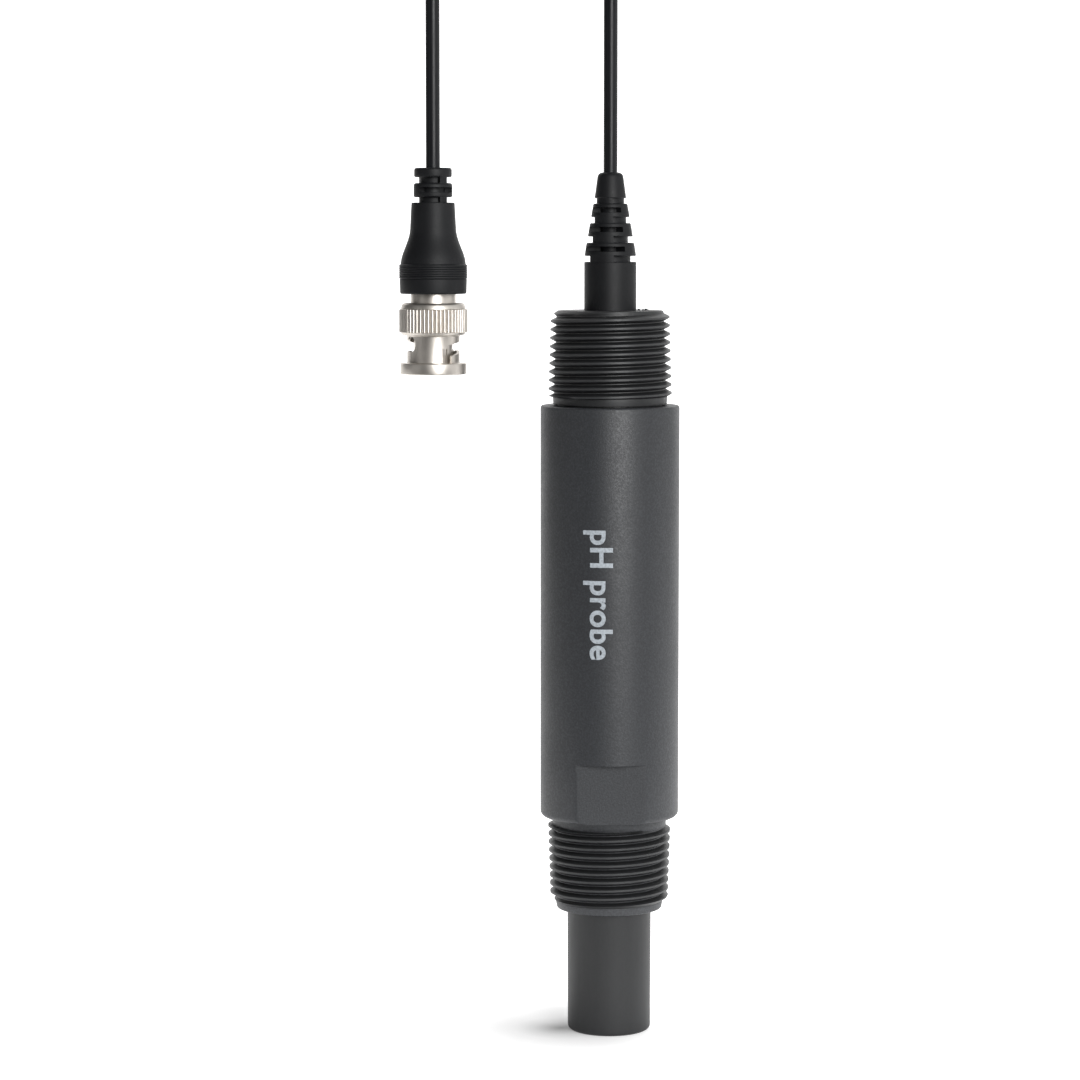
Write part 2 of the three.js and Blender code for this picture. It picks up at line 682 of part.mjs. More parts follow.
function plugBoot() {
  const bodyEnd = plugFaceHeight + plugBodyLength;
  const bore = plugBodyDiameter / 2 + fitGap;
  const ferruleBore = ferruleDiameter / 2 + fitGap;
  const ferruleEnd = bodyEnd + ferruleLength + fitGap * 2;
  const bandTop = plugBootStart + plugBandHeight;
  const ribTop = bandTop + plugRibHeight;
  const flareTop = ribTop + plugFlareHeight;
  const waistTop = flareTop + plugWaistHeight;
  const ribSize = plugRibDiameter / 2;
  const waist = plugWaistDiameter / 2;
  const profile = [
    [bore, plugBootStart],
    [plugBandDiameter / 2, plugBootStart],
    [plugBandDiameter / 2, bandTop],
    [ribSize, bandTop],
    [ribSize, ribTop],
    [ribSize - fitGap, ribTop],
  ];
  for (let step = 1; step <= 6; step += 1) {
    const share = step / 6;
    const ease = (1 + Math.cos(Math.PI * share)) / 2;
    profile.push([waist + (ribSize - fitGap - waist) * ease, ribTop + plugFlareHeight * share]);
  }
  profile.push([plugWaistTop / 2, waistTop]);
  let z = waistTop;
  plugRings.forEach((ring) => {
    profile.push([ring.core / 2, z], [ring.core / 2, z + ring.groove]);
    z += ring.groove;
    profile.push([ring.ring / 2, z], [ring.ring / 2, z + ring.height]);
    z += ring.height;
  });
  profile.push([0, z], [0, ferruleEnd], [ferruleBore, ferruleEnd]);
  profile.push([ferruleBore, bodyEnd + fitGap], [bore, bodyEnd + fitGap]);
  return turned(profile, plugSides);
}

// ---- assembly -----------------------------------------------------------------------------------
piece('housing', housing(), housingGrey);
piece('rear_threaded_cap', rearCap(), capGrey);
piece('cap_o_ring', roundRing(2 * (chamberRadius - fitGap) - ringGrooveDepth + fitGap,
  ringGrooveDepth - fitGap, barrelTopZ - capSpigotLength / 2), sealBlack);
piece('strain_relief', strainRelief(), bootBlack);

piece('sensing_bulb', sensingBulb(), glassClear);
piece('glass_stem', sleeve(stemDiameter, stemDiameter - 2 * stemWall, stemStartZ, stemEndZ, plugSides),
  glassClear);
piece('measuring_wire', rod(wireDiameter, wireDiameter, bulbCentreZ, stemEndZ + neckLength, wireSides),
  silver);
piece('reference_wire', rod(wireDiameter, wireDiameter, chamberFloorZ + neckLength,
  stemEndZ + neckLength, wireSides).translate(referenceOffset, 0, 0), silver);
piece('junction_ring', sleeve(2 * (boreRadius - fitGap), stemDiameter + 2 * fitGap, junctionZ,
  junctionZ + junctionLength, plugSides), porousWhite);
piece('tip_o_ring', roundRing(boreRadius + stemDiameter / 2, boreRadius - stemDiameter / 2 - 2 * fitGap,
  junctionZ + junctionLength + (boreRadius - stemDiameter / 2) / 2 + fitGap, plugSides), sealBlack);
piece('stem_spacer', stemSpacer(), porousWhite);
piece('stem_seal', stemSeal(), sealBlack);
piece('signal_lead', tubeAlong(signalRoute, leadDiameter, 1), jacketBlack);
piece('reference_lead', tubeAlong(referenceRoute, leadDiameter, 12), jacketBlack);
piece('potting_plug', pottingPlug(), resinAmber);
piece('inner_cable', rod(leadJacketDiameter, leadJacketDiameter, cableEndZ,
  capTopZ + bootFootHeight / 2, wireSides), jacketBlack);

piece('cable_riser', leadRun(0, 0, bootTopZ + runGap), jacketBlack);
piece('cable_coil', coilRing(0), jacketBlack);
piece('cable_drop', leadRun(dropX, dropY, coilZ - dropLength + runGap), jacketBlack);
piece('cable_tie', cableTie(), sealBlack);

const plug = new THREE.Group();
plug.position.set(dropX, dropY, plugZ);
model.add(plug);
piece('coupling_nut', couplingNut(), nickel, plug);
piece('thrust_washer', sleeve(ringDiameter, plugBodyDiameter + 2 * fitGap, thrustStart, thrustEnd,
  plugSides), nickel, plug);
piece('wave_washer', sleeve(ringDiameter, plugBodyDiameter + 2 * fitGap, waveStart, waveEnd,
  plugSides), nickel, plug);
piece('retaining_ring', retainingRing(), nickel, plug);
piece('plug_body', plugBody(), nickel, plug);
piece('outer_contact', outerContact(), nickel, plug);
piece('insulator', insulator(), porousWhite, plug);
piece('centre_pin', centrePin(), goldPlate, plug);
piece('plug_gasket', sleeve(plugBodyDiameter, contactDiameter + 2 * fitGap,
  plugFaceHeight - gasketHeight - fitGap / 2, plugFaceHeight - fitGap / 2, plugSides), sealBlack, plug);
piece('crimp_ferrule', sleeve(ferruleDiameter, ferruleDiameter - 2 * ferruleWall,
  plugFaceHeight + plugBodyLength + fitGap, plugFaceHeight + plugBodyLength + ferruleLength,
  plugSides), nickel, plug);
piece('plug_boot', plugBoot(), bootBlack, plug);

export default model;
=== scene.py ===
"""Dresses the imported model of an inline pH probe: fine threads, moulded boots, knurled plug and lead."""

import math

import bmesh
import bpy
from bpy.props import FloatProperty, FloatVectorProperty, IntProperty, PointerProperty, StringProperty
from mathutils import Matrix, Vector


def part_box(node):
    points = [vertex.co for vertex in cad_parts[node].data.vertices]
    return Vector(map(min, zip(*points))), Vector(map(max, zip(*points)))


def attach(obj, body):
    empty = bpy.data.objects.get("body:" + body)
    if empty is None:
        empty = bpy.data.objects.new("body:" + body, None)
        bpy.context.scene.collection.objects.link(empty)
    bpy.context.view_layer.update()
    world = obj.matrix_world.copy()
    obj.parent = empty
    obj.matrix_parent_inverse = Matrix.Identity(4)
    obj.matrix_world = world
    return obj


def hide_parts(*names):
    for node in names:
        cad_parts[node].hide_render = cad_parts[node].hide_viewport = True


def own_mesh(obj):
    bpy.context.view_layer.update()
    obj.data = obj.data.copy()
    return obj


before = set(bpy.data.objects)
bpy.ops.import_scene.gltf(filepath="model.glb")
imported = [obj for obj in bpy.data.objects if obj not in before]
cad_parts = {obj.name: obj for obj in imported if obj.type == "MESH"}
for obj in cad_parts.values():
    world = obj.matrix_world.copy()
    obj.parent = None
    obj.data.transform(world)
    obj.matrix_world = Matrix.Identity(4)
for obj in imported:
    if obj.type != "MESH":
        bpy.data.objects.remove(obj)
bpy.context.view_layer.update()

bl_info = {
    "name": "Inline pH probe",
    "version": (1, 0, 0),
    "blender": (4, 5, 0),
    "location": "View3D > Sidebar > Probe",
    "description": "Builds the visible pieces of an inline pH probe round its packed frame",
    "category": "Object",
}

MM = 0.001
FULL_TURN = 2 * math.pi
BODY = "probe"
NUT_BODY = "coupling_nut"
WASHER_BODY = "thrust_washer"


# ---- places taken from the frame --------------------------------------------------------------------
def low(node):
    """Lowest corner of a CAD node."""
    return Vector(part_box(node)[0])


def high(node):
    """Highest corner of a CAD node."""
    return Vector(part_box(node)[1])


def middle(node):
    """Centre of a CAD node's box."""
    return (low(node) + high(node)) / 2


TIP_Z = low("housing").z
BARREL_TOP_Z = high("housing").z
BARREL_RADIUS = high("housing").x
CAP_TOP_Z = high("rear_threaded_cap").z
BOOT_TOP_Z = high("strain_relief").z
COIL = middle("cable_coil")
COIL_BACK_Y = high("cable_coil").y
COIL_FRONT_Y = low("cable_coil").y
PLUG = Vector((middle("cable_drop").x, middle("cable_drop").y, low("coupling_nut").z))
PLUG_TOP_Z = high("plug_boot").z


# ---- sizes and colours that a user would change --------------------------------------------------------
def length(name, description, default, lowest=0.0):
    """A size in metres."""
    return FloatProperty(name=name, description=description, default=default, min=lowest,
                         unit="LENGTH", precision=5)


def colour(name, description, default):
    """A colour."""
    return FloatVectorProperty(name=name, description=description, default=default, size=3,
                               min=0.0, max=1.0, subtype="COLOR")


class ThreadSizes(bpy.types.PropertyGroup):
    """The taper pipe thread on both ends of the probe."""

    pitch: length("Pitch", "From one crest to the next", 25.4 / 14 * MM)
    crest_diameter: length("Crest diameter", "Across the crests at the large end", 26.67 * MM)
    depth: length("Depth", "From crest to root", 1.25 * MM)
    taper: FloatProperty(name="Taper", description="Change of diameter per length", default=1 / 16)
    crest_flat: length("Crest flat", "Width of the flat on a crest", 0.40 * MM)
    root_flat: length("Root flat", "Width of the flat in a root", 0.18 * MM)
    neck_height: length("Neck", "Plain neck between thread and barrel", 2.0 * MM)
    neck_diameter: length("Neck diameter", "Across the plain neck", 24.7 * MM)
    steps: IntProperty(name="Steps", description="Facets in one turn", default=96, min=24)


class ProbeSizes(bpy.types.PropertyGroup):
    """Sizes of the probe's own mouldings."""

    tip_diameter: length("Tip diameter", "Across the tip sleeve at its rim", 18.0 * MM)
    tip_top_diameter: length("Tip top diameter", "Across the tip sleeve at the thread", 18.2 * MM)
    tip_bore: length("Tip bore", "Across the recess round the glass", 13.0 * MM)
    tip_edge: length("Tip edge", "Radius of the tip's rim", 1.0 * MM)
    stub: length("Thread stub", "End face to shoulder of the process thread", 20.2 * MM)
    lead_diameter: length("Lead-in diameter", "Plain start of the process thread", 23.4 * MM)
    lead_height: length("Lead-in height", "Plain start of the process thread", 1.8 * MM)
    wall: length("Wall", "Wall of the barrel", 3.8 * MM)
    shoulder_edge: length("Shoulder edge", "Radius of the barrel's lower edge", 1.2 * MM)
    top_edge: length("Top edge", "Radius of the barrel's upper edge", 0.5 * MM)
    across_flats: length("Across flats", "Wrench size", 26.0 * MM)
    flat_height: length("Flat height", "Height of the wrench flats", 13.0 * MM)
    seat_depth: length("Boot seat", "Depth of the boot's seat in the cap", 8.0 * MM)


class LeadSizes(bpy.types.PropertyGroup):
    """The coaxial lead and its coil."""

    diameter: length("Diameter", "Across the jacket", 3.0 * MM)
    turn_pitch: length("Turn pitch", "From one turn to the next", 3.05 * MM)
    turns_across: IntProperty(name="Turns across", description="Turns side by side in a layer", default=3)
    outer_turn: length("Outer turn", "Radius of the outermost turn", 18.69 * MM)


class StageSizes(bpy.types.PropertyGroup):
    """Camera and lights."""

    distance: length("Camera distance", "From the probe's axis, level", 0.7327)
    side: FloatProperty(name="Camera side", description="Camera to the side of the axis", default=-0.0151,
                        unit="LENGTH")
    height: length("Camera height", "Above the tip's rim", 0.1744)
    pitch: FloatProperty(name="Camera pitch", description="Tilt below the horizon",
                         default=math.radians(5.226), subtype="ANGLE")
    lens: FloatProperty(name="Lens", description="Focal length in mm on a 36 mm sensor", default=113.3)
    key: FloatProperty(name="Key", description="Power of the panel beside the camera", default=8.0)
    side_light: FloatProperty(name="Side light", description="Power of the panel on the right", default=2.6)
    left_light: FloatProperty(name="Left light", description="Power of the panel on the left", default=0.6)
    top: FloatProperty(name="Top", description="Power of the panel overhead", default=1.4)
    surroundings: FloatProperty(name="Surroundings", description="Brightness of the world", default=0.08)
    sweep_glow: FloatProperty(name="Sweep glow", description="How much the backdrop glows", default=0.95)
    # the painted shadow: how far the shadow painted into the floor reaches beside the tip
    painted_shadow_spread: length("Shadow spread", "How far the soft shadow reaches beside the tip", 30 * MM)


class ProbeColours(bpy.types.PropertyGroup):
    """Base colours of the finishes."""

    housing: colour("Housing", "Mid grey moulding", (0.024, 0.0258, 0.0292))
    cap: colour("Cap", "Dark grey moulding", (0.013, 0.0137, 0.0145))
    boot: colour("Boots", "Black elastomer", (0.004, 0.0044, 0.0054))
    jacket: colour("Jacket", "Black lead", (0.005, 0.0055, 0.007))
    print: colour("Print", "Pale printed mark", (0.42, 0.46, 0.50))
    nickel: colour("Nickel", "Warm plating", (0.64, 0.60, 0.55))
    gold: colour("Gold", "Contact plating", (0.80, 0.60, 0.25))
    white: colour("White plastic", "Insulator and porous ring", (0.80, 0.80, 0.77))


# ---- shader maths ---------------------------------------------------------------------------------------
# places of the colour sockets on a Mix node, whose sockets share their names
MIX_FIRST_COLOUR, MIX_SECOND_COLOUR, MIX_COLOUR_OUT = 6, 7, 2


class Value:
    """One output socket of a material, so that shader maths reads as Python."""

    def __init__(self, finish, socket):
        self.finish = finish
        self.socket = socket

    def _math(self, operation, first, second):
        return self.finish.node("ShaderNodeMath", {"operation": operation}, {0: first, 1: second})

    def __add__(self, other):
        return self._math("ADD", self, other)

    def __sub__(self, other):
        return self._math("SUBTRACT", self, other)

    def __mul__(self, other):
        return self._math("MULTIPLY", self, other)

    def __rsub__(self, other):
        return self._math("SUBTRACT", other, self)

    __radd__ = __add__
    __rmul__ = __mul__


class Finish:
    """A material with one Principled shader, and a short way to add nodes to it."""

    def __init__(self, name, **constants):
        self.material = bpy.data.materials.new(name)
        self.material.use_nodes = True
        self.tree = self.material.node_tree
        self.shader = self.tree.nodes["Principled BSDF"]
        for socket, value in constants.items():
            self.shader.inputs[socket.replace("_", " ").title().replace("Ior", "IOR")].default_value = value

    def node(self, kind, settings=None, inputs=None, output=0):
        """Adds a node: its settings first, then values or links for its sockets."""
        made = self.tree.nodes.new(kind)
        for key, value in (settings or {}).items():
            if key == "stops":
                self._set_stops(made.color_ramp, value)
            else:
                setattr(made, key, value)
        for key, value in (inputs or {}).items():
            self.feed(made.inputs[key], value)
        return Value(self, made.outputs[output])

    @staticmethod
    def _set_stops(ramp, stops):
        while len(ramp.elements) < len(stops):
            ramp.elements.new(1.0)
        for element, (position, level) in zip(ramp.elements, stops):
            element.position = position
            element.color = (level, level, level, 1.0)

    def feed(self, socket, value):
        """Links a Value to a socket, or sets a plain value on it."""
        if isinstance(value, Value):
            self.tree.links.new(value.socket, socket)
        else:
            socket.default_value = value

    def surface(self, **inputs):
        """Feeds varying values to the shader."""
        for key, value in inputs.items():
            self.feed(self.shader.inputs[key.replace("_", " ").title()], value)

    def place(self, scale=(1.0, 1.0, 1.0), offset=(0.0, 0.0, 0.0)):
        """Object coordinates, stretched and then moved."""
        where = self.node("ShaderNodeTexCoord", {}, {}, "Object")
        return self.node("ShaderNodeMapping", {}, {"Vector": where, "Scale": scale, "Location": offset})

    def noise(self, size, detail=2.0, roughness=0.5, scale=(1.0, 1.0, 1.0)):
        """Cloudy noise whose blobs are about size metres across."""
        return self.node("ShaderNodeTexNoise", {}, {
            "Vector": self.place(scale), "Scale": 1 / size, "Detail": detail, "Roughness": roughness})

    def ramp(self, value, stops):
        """Maps a value through grey stops."""
        return self.node("ShaderNodeValToRGB", {"stops": stops}, {"Fac": value})

    def tint(self, share, first, second):
        """Mixes two colours."""
        return self.node("ShaderNodeMix", {"data_type": "RGBA"}, {
            "Factor": share, MIX_FIRST_COLOUR: rgba(first), MIX_SECOND_COLOUR: rgba(second)}, MIX_COLOUR_OUT)

    def bump(self, height, distance, strength=1.0):
        """Feeds a height in metres to the shader's normal."""
        self.feed(self.shader.inputs["Normal"], self.node("ShaderNodeBump", {}, {
            "Height": height, "Distance": distance, "Strength": strength}))


def rgba(value):
    """Three numbers as a colour socket takes them; a Value stays as it is."""
    return value if isinstance(value, Value) else (value[0], value[1], value[2], 1.0)


def shade(base, factor):
    """A colour made lighter or darker."""
    return tuple(min(1.0, channel * factor) for channel in base)


FINISHES = {}


def finish(name):
    """The finish of that name, made the first time that it is asked for."""
    if name not in FINISHES:
        FINISHES[name] = FINISH_MAKERS[name](bpy.context.scene.probe_colours)
    return FINISHES[name].material


def moulded_grey(colours):
    """Barrel: filled engineering plastic with a fine spark-eroded grain."""
    made = Finish("moulded_grey", roughness=0.5, ior=1.5)
    grain = made.noise(0.42 * MM, 3.0, 0.6)
    patches = made.noise(9 * MM, 2.0, 0.5)
    speck = made.ramp(grain, [(0.42, 0.0), (0.66, 1.0)])
    base = made.tint(speck, shade(colours.housing, 0.84), shade(colours.housing, 1.42))
    made.surface(base_color=made.tint(patches * 0.35, base, shade(colours.housing, 0.9)),
                 roughness=speck * -0.10 + patches * 0.12 + 0.47)
    pits = made.noise(0.30 * MM, 2.0, 0.6)
    made.bump(grain * 0.6 + pits * 0.4, 0.10 * MM, 0.55)
    return made


def tip_grey(colours):
    """Tip sleeve: the same plastic from a smoother cavity, with faint draw marks; its colour is a darker
    copy of the barrel's, as painted shade.
    """
    made = Finish("tip_grey", roughness=0.36, ior=1.5)
    grain = made.noise(0.5 * MM, 2.0, 0.5)
    marks = made.noise(1.2 * MM, 2.0, 0.5, (1.0, 1.0, 0.08))
    # painted shade: the tip's colour is the housing colour darkened far below the barrel's
    made.surface(base_color=made.tint(grain, shade(colours.housing, 0.22), shade(colours.housing, 0.38)),
                 roughness=marks * 0.10 + 0.48)
    made.bump(grain * 0.5 + marks * 0.5, 0.03 * MM, 0.4)
    return made


def thread_grey(colours):
    """Threads: painted shade darkens the roots and painted light makes the crests paler, with random pale
    scuffs.
    """
    made = Finish("thread_grey", roughness=0.5, ior=1.5)
    painted_crest_light = made.node("ShaderNodeAttribute", {"attribute_name": "crest"}, {}, "Fac")
    scuff = made.noise(0.8 * MM, 3.0, 0.6)
    # painted light and shade: pale on the crests, dark in the roots, mixed with random scuffs
    scuffs_and_painted_shade = made.ramp(painted_crest_light * 0.8 + scuff * 0.4, [(0.55, 0.0), (1.0, 1.0)])
    made.surface(base_color=made.tint(scuffs_and_painted_shade, shade(colours.cap, 0.62), shade(colours.cap, 1.9)),
                 roughness=scuff * 0.2 + 0.38)
    made.bump(scuff, 0.03 * MM, 0.5)
    return made


def cap_grey(colours):
    """Rear cap: coloured darker than the barrel."""
    made = Finish("cap_grey", roughness=0.5, ior=1.5)
    grain = made.noise(0.5 * MM, 3.0, 0.6)
    made.surface(base_color=made.tint(grain, shade(colours.cap, 0.9), shade(colours.cap, 1.7)),
                 roughness=grain * 0.15 + 0.42)
    made.bump(grain, 0.05 * MM, 0.5)
    return made


def boot_black(colours):
    """Strain reliefs: satin elastomer with a fine mould grain and faint dust."""
    made = Finish("boot_black", roughness=0.5, ior=1.5, specular_ior_level=0.3)
    grain = made.noise(0.35 * MM, 3.0, 0.6)
    bloom = made.noise(5 * MM, 3.0, 0.6)
    made.surface(base_color=made.tint(bloom, shade(colours.boot, 0.8), shade(colours.boot, 1.5)),
                 roughness=grain * 0.14 + bloom * 0.10 + 0.44)
    made.bump(grain, 0.04 * MM, 0.45)
    return made


def jacket_black(colours):
    """Lead: smooth extruded jacket."""
    made = Finish("jacket_black", roughness=0.38, ior=1.5, specular_ior_level=0.26)
    bloom = made.noise(4 * MM, 3.0, 0.6)
    made.surface(base_color=made.tint(bloom, shade(colours.jacket, 0.8), shade(colours.jacket, 1.5)),
                 roughness=bloom * 0.16 + 0.30)
    made.bump(bloom, 0.05 * MM, 0.3)
    return made


def tie_black(colours):
    """Cable tie: nylon."""
    made = Finish("tie_black", roughness=0.42, ior=1.5)
    grain = made.noise(0.8 * MM, 2.0, 0.5)
    made.surface(base_color=made.tint(grain, shade(colours.boot, 0.8), shade(colours.boot, 1.3)),
                 roughness=grain * 0.15 + 0.36)
    return made


def seal_black(colours):
    """O-rings, gasket and bungs: matt rubber."""
    made = Finish("seal_black", roughness=0.7, ior=1.5)
    grain = made.noise(0.3 * MM, 2.0, 0.5)
    made.surface(base_color=made.tint(grain, shade(colours.boot, 0.4), shade(colours.boot, 0.8)),
                 roughness=grain * 0.15 + 0.6)
    return made


def white_plastic(colours):
    """Insulator and porous ring: white fluoropolymer, slightly mottled."""
    made = Finish("white_plastic", roughness=0.5, ior=1.38)
    mottle = made.noise(0.6 * MM, 3.0, 0.6)
    made.surface(base_color=made.tint(mottle, shade(colours.white, 0.9), shade(colours.white, 1.05)),
                 roughness=mottle * 0.15 + 0.42)
    made.bump(mottle, 0.03 * MM, 0.4)
    return made


def plated(name, base, grain_size):
    """Plated metal with soft blasted grain and faint turning marks."""
    made = Finish(name, metallic=1.0, roughness=0.26, ior=1.6)
    grain = made.noise(grain_size, 3.0, 0.6)
    turning = made.noise(0.5 * MM, 2.0, 0.5, (0.04, 0.04, 1.0))
    dulled = made.noise(3 * MM, 3.0, 0.6)
    made.surface(base_color=made.tint(dulled, shade(base, 0.86), shade(base, 1.06)),
                 roughness=grain * 0.14 + dulled * 0.10 + 0.30)
    made.bump(grain * 0.6 + turning * 0.4, 0.02 * MM, 0.35)
    return made


def nickel(colours):
    """Plug metal."""
    return plated("nickel", colours.nickel, 0.25 * MM)


def gold(colours):
    """Centre pin."""
    return plated("gold", colours.gold, 0.2 * MM)


def silver(colours):
    """Electrode wires."""
    return plated("silver", (0.75, 0.74, 0.71), 0.3 * MM)


def glass(colours):
    """Sensing bulb and stem."""
    return Finish("glass", base_color=(0.93, 0.97, 0.96, 1.0), roughness=0.03, ior=1.5,
                  transmission_weight=0.9)


def resin(colours):
    """Potting."""
    made = Finish("resin", roughness=0.3, ior=1.55)
    swirl = made.noise(2 * MM, 3.0, 0.5)
    made.surface(base_color=made.tint(swirl, (0.05, 0.03, 0.014), (0.09, 0.055, 0.025)),
                 roughness=swirl * 0.2 + 0.22)
    return made


def pale_print(colours):
    """Printed mark: pad ink, slightly worn."""
    made = Finish("pale_print", roughness=0.5, ior=1.5)
    wear = made.noise(0.5 * MM, 3.0, 0.6)
    made.surface(base_color=made.tint(made.ramp(wear, [(0.35, 0.0), (0.6, 1.0)]),
                                      shade(colours.print, 0.72), colours.print),
                 roughness=wear * 0.1 + 0.45)
    return made


FINISH_MAKERS = {maker.__name__: maker for maker in (
    moulded_grey, tip_grey, thread_grey, cap_grey, boot_black, jacket_black, tie_black, seal_black,
    white_plastic, nickel, gold, silver, glass, resin, pale_print)}


# ---- outlines -------------------------------------------------------------------------------------------
def rounded(corners, segments=5):
    """Points (radius, height) of an outline from corners (radius, height, fillet), fillets as arcs."""
    points = []
    for index, (radius, height, fillet) in enumerate(corners):
        here = Vector((radius, height))
        if not fillet:
            points.append(here)
            continue
        before = (Vector(corners[index - 1][:2]) - here).normalized()
        after = (Vector(corners[(index + 1) % len(corners)][:2]) - here).normalized()
        half = before.angle(after) / 2
        centre = here + (before + after).normalized() * fillet / math.sin(half)
        start = here + before * fillet / math.tan(half) - centre
        sweep = start.angle_signed(here + after * fillet / math.tan(half) - centre)
        for step in range(segments + 1):
            angle = -sweep * step / segments
            turn = Matrix.Rotation(angle, 2)
            points.append(centre + turn @ start)
    return points


def turned(bm, points, steps=96, closed=True):
    """Spins an outline round the Z axis; a closed outline joins its last point to its first."""
    verts = [bm.verts.new((point[0], 0.0, point[1])) for point in points]
    edges = [bm.edges.new(pair) for pair in zip(verts, verts[1:])]
    if closed:
        edges.append(bm.edges.new((verts[-1], verts[0])))
    bmesh.ops.spin(bm, geom=verts + edges, cent=(0, 0, 0), axis=(0, 0, 1), dvec=(0, 0, 0),
                   angle=FULL_TURN, steps=steps, use_merge=True)


def weld(bm, distance=1e-7):
    """Merges doubles and points every face outwards."""
    bmesh.ops.remove_doubles(bm, verts=bm.verts, dist=distance)
    bmesh.ops.dissolve_degenerate(bm, edges=bm.edges, dist=distance)
    bmesh.ops.recalc_face_normals(bm, faces=bm.faces)


def mark_sharp(bm, degrees=32):
    """Smooth shading with creases where faces meet at more than this angle."""
    limit = math.radians(degrees)
    for face in bm.faces:
        face.smooth = True
    for edge in bm.edges:
        edge.smooth = not (len(edge.link_faces) == 2 and edge.calc_face_angle(0.0) > limit)


def make_object(name, bm, finishes, place=(0, 0, 0), sharp=32):
    """Turns a bmesh into an object whose place is in its mesh."""
    bmesh.ops.translate(bm, verts=bm.verts, vec=Vector(place))
    mark_sharp(bm, sharp)
    mesh = bpy.data.meshes.new(name)
    bm.to_mesh(mesh)
    bm.free()
    for each in finishes:
        mesh.materials.append(finish(each))
    made = bpy.data.objects.new(name, mesh)
    bpy.context.scene.collection.objects.link(made)
    return made


def join_bmesh(bm, other):
    """Adds another bmesh's geometry and frees it."""
    mesh = bpy.data.meshes.new("joining")
    other.to_mesh(mesh)
    other.free()
    bm.from_mesh(mesh)
    bpy.data.meshes.remove(mesh)


def carve(made, cutters, operation="DIFFERENCE"):
    """Applies boolean cuts to an object and removes the cutters."""
    for cutter in cutters:
        modifier = made.modifiers.new("cut", "BOOLEAN")
        modifier.operation = operation
        modifier.solver = "EXACT"
        modifier.object = cutter
    graph = bpy.context.evaluated_depsgraph_get()
    carved = bpy.data.meshes.new_from_object(made.evaluated_get(graph))
    made.modifiers.clear()
    old = made.data
    made.data = carved
    carved.name = old.name
    bpy.data.meshes.remove(old)
    for cutter in cutters:
        bpy.data.objects.remove(cutter)
    bm = bmesh.new()
    bm.from_mesh(made.data)
    mark_sharp(bm)
    bm.to_mesh(made.data)
    bm.free()


def settle(made, body, slot, *nodes):
    """A piece rides on its body and stands for its CAD nodes; its finish slot is not used."""
    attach(made, body)
    if nodes:
        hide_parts(*nodes)


def tube(inner, outer, base, top, edge):
    """Corners of a plain ring with rounded edges."""
    return [(inner, base, edge), (outer, base, edge), (outer, top, edge), (inner, top, edge)]


def block(bm, size, centre, turn=0.0):
    """A box of that size, turned about Z through the origin after it is put at its centre."""
    matrix = Matrix.Rotation(turn, 4, "Z") @ Matrix.Translation(centre) @ Matrix.Diagonal((*size, 1.0))
    return bmesh.ops.create_cube(bm, size=1.0, matrix=matrix)["verts"]


def wedge_cut(name, inner, outer, low_z, high_z, first, last, edge=0.25 * MM):
    """A cutter shaped as part of a ring, between two angles in degrees, with rounded edges."""
    bm = bmesh.new()
    outline = [(inner, low_z), (outer, low_z), (outer, high_z), (inner, high_z)]
    verts = [bm.verts.new((radius, 0.0, z)) for radius, z in outline]
    face = bm.faces.new(verts)
    bmesh.ops.rotate(bm, verts=verts, cent=(0, 0, 0), matrix=Matrix.Rotation(math.radians(first), 3, "Z"))
    bmesh.ops.spin(bm, geom=[face], cent=(0, 0, 0), axis=(0, 0, 1), dvec=(0, 0, 0),
                   angle=math.radians(last - first), steps=max(4, round((last - first) / 5)))
    bmesh.ops.recalc_face_normals(bm, faces=bm.faces)
    if edge:
        ends = [each for each in bm.edges if each.is_manifold and each.calc_face_angle(0.0) > 1.2]
        bmesh.ops.bevel(bm, geom=ends, offset=edge, segments=2, profile=0.5, affect="EDGES", material=-1)
    return make_object(name, bm, [])


def shift(made, offset):
    """Moves an object's mesh, not the object."""
    made.data.transform(Matrix.Translation(Vector(offset)))


def scaled(values):
    """Sizes given in mm, in metres."""
    return [value * MM for value in values]


# ---- threads --------------------------------------------------------------------------------------------
# how far the plain core under a thread lies inside its crests, so that the two overlap
CORE_DEPTH = 2.0 * MM


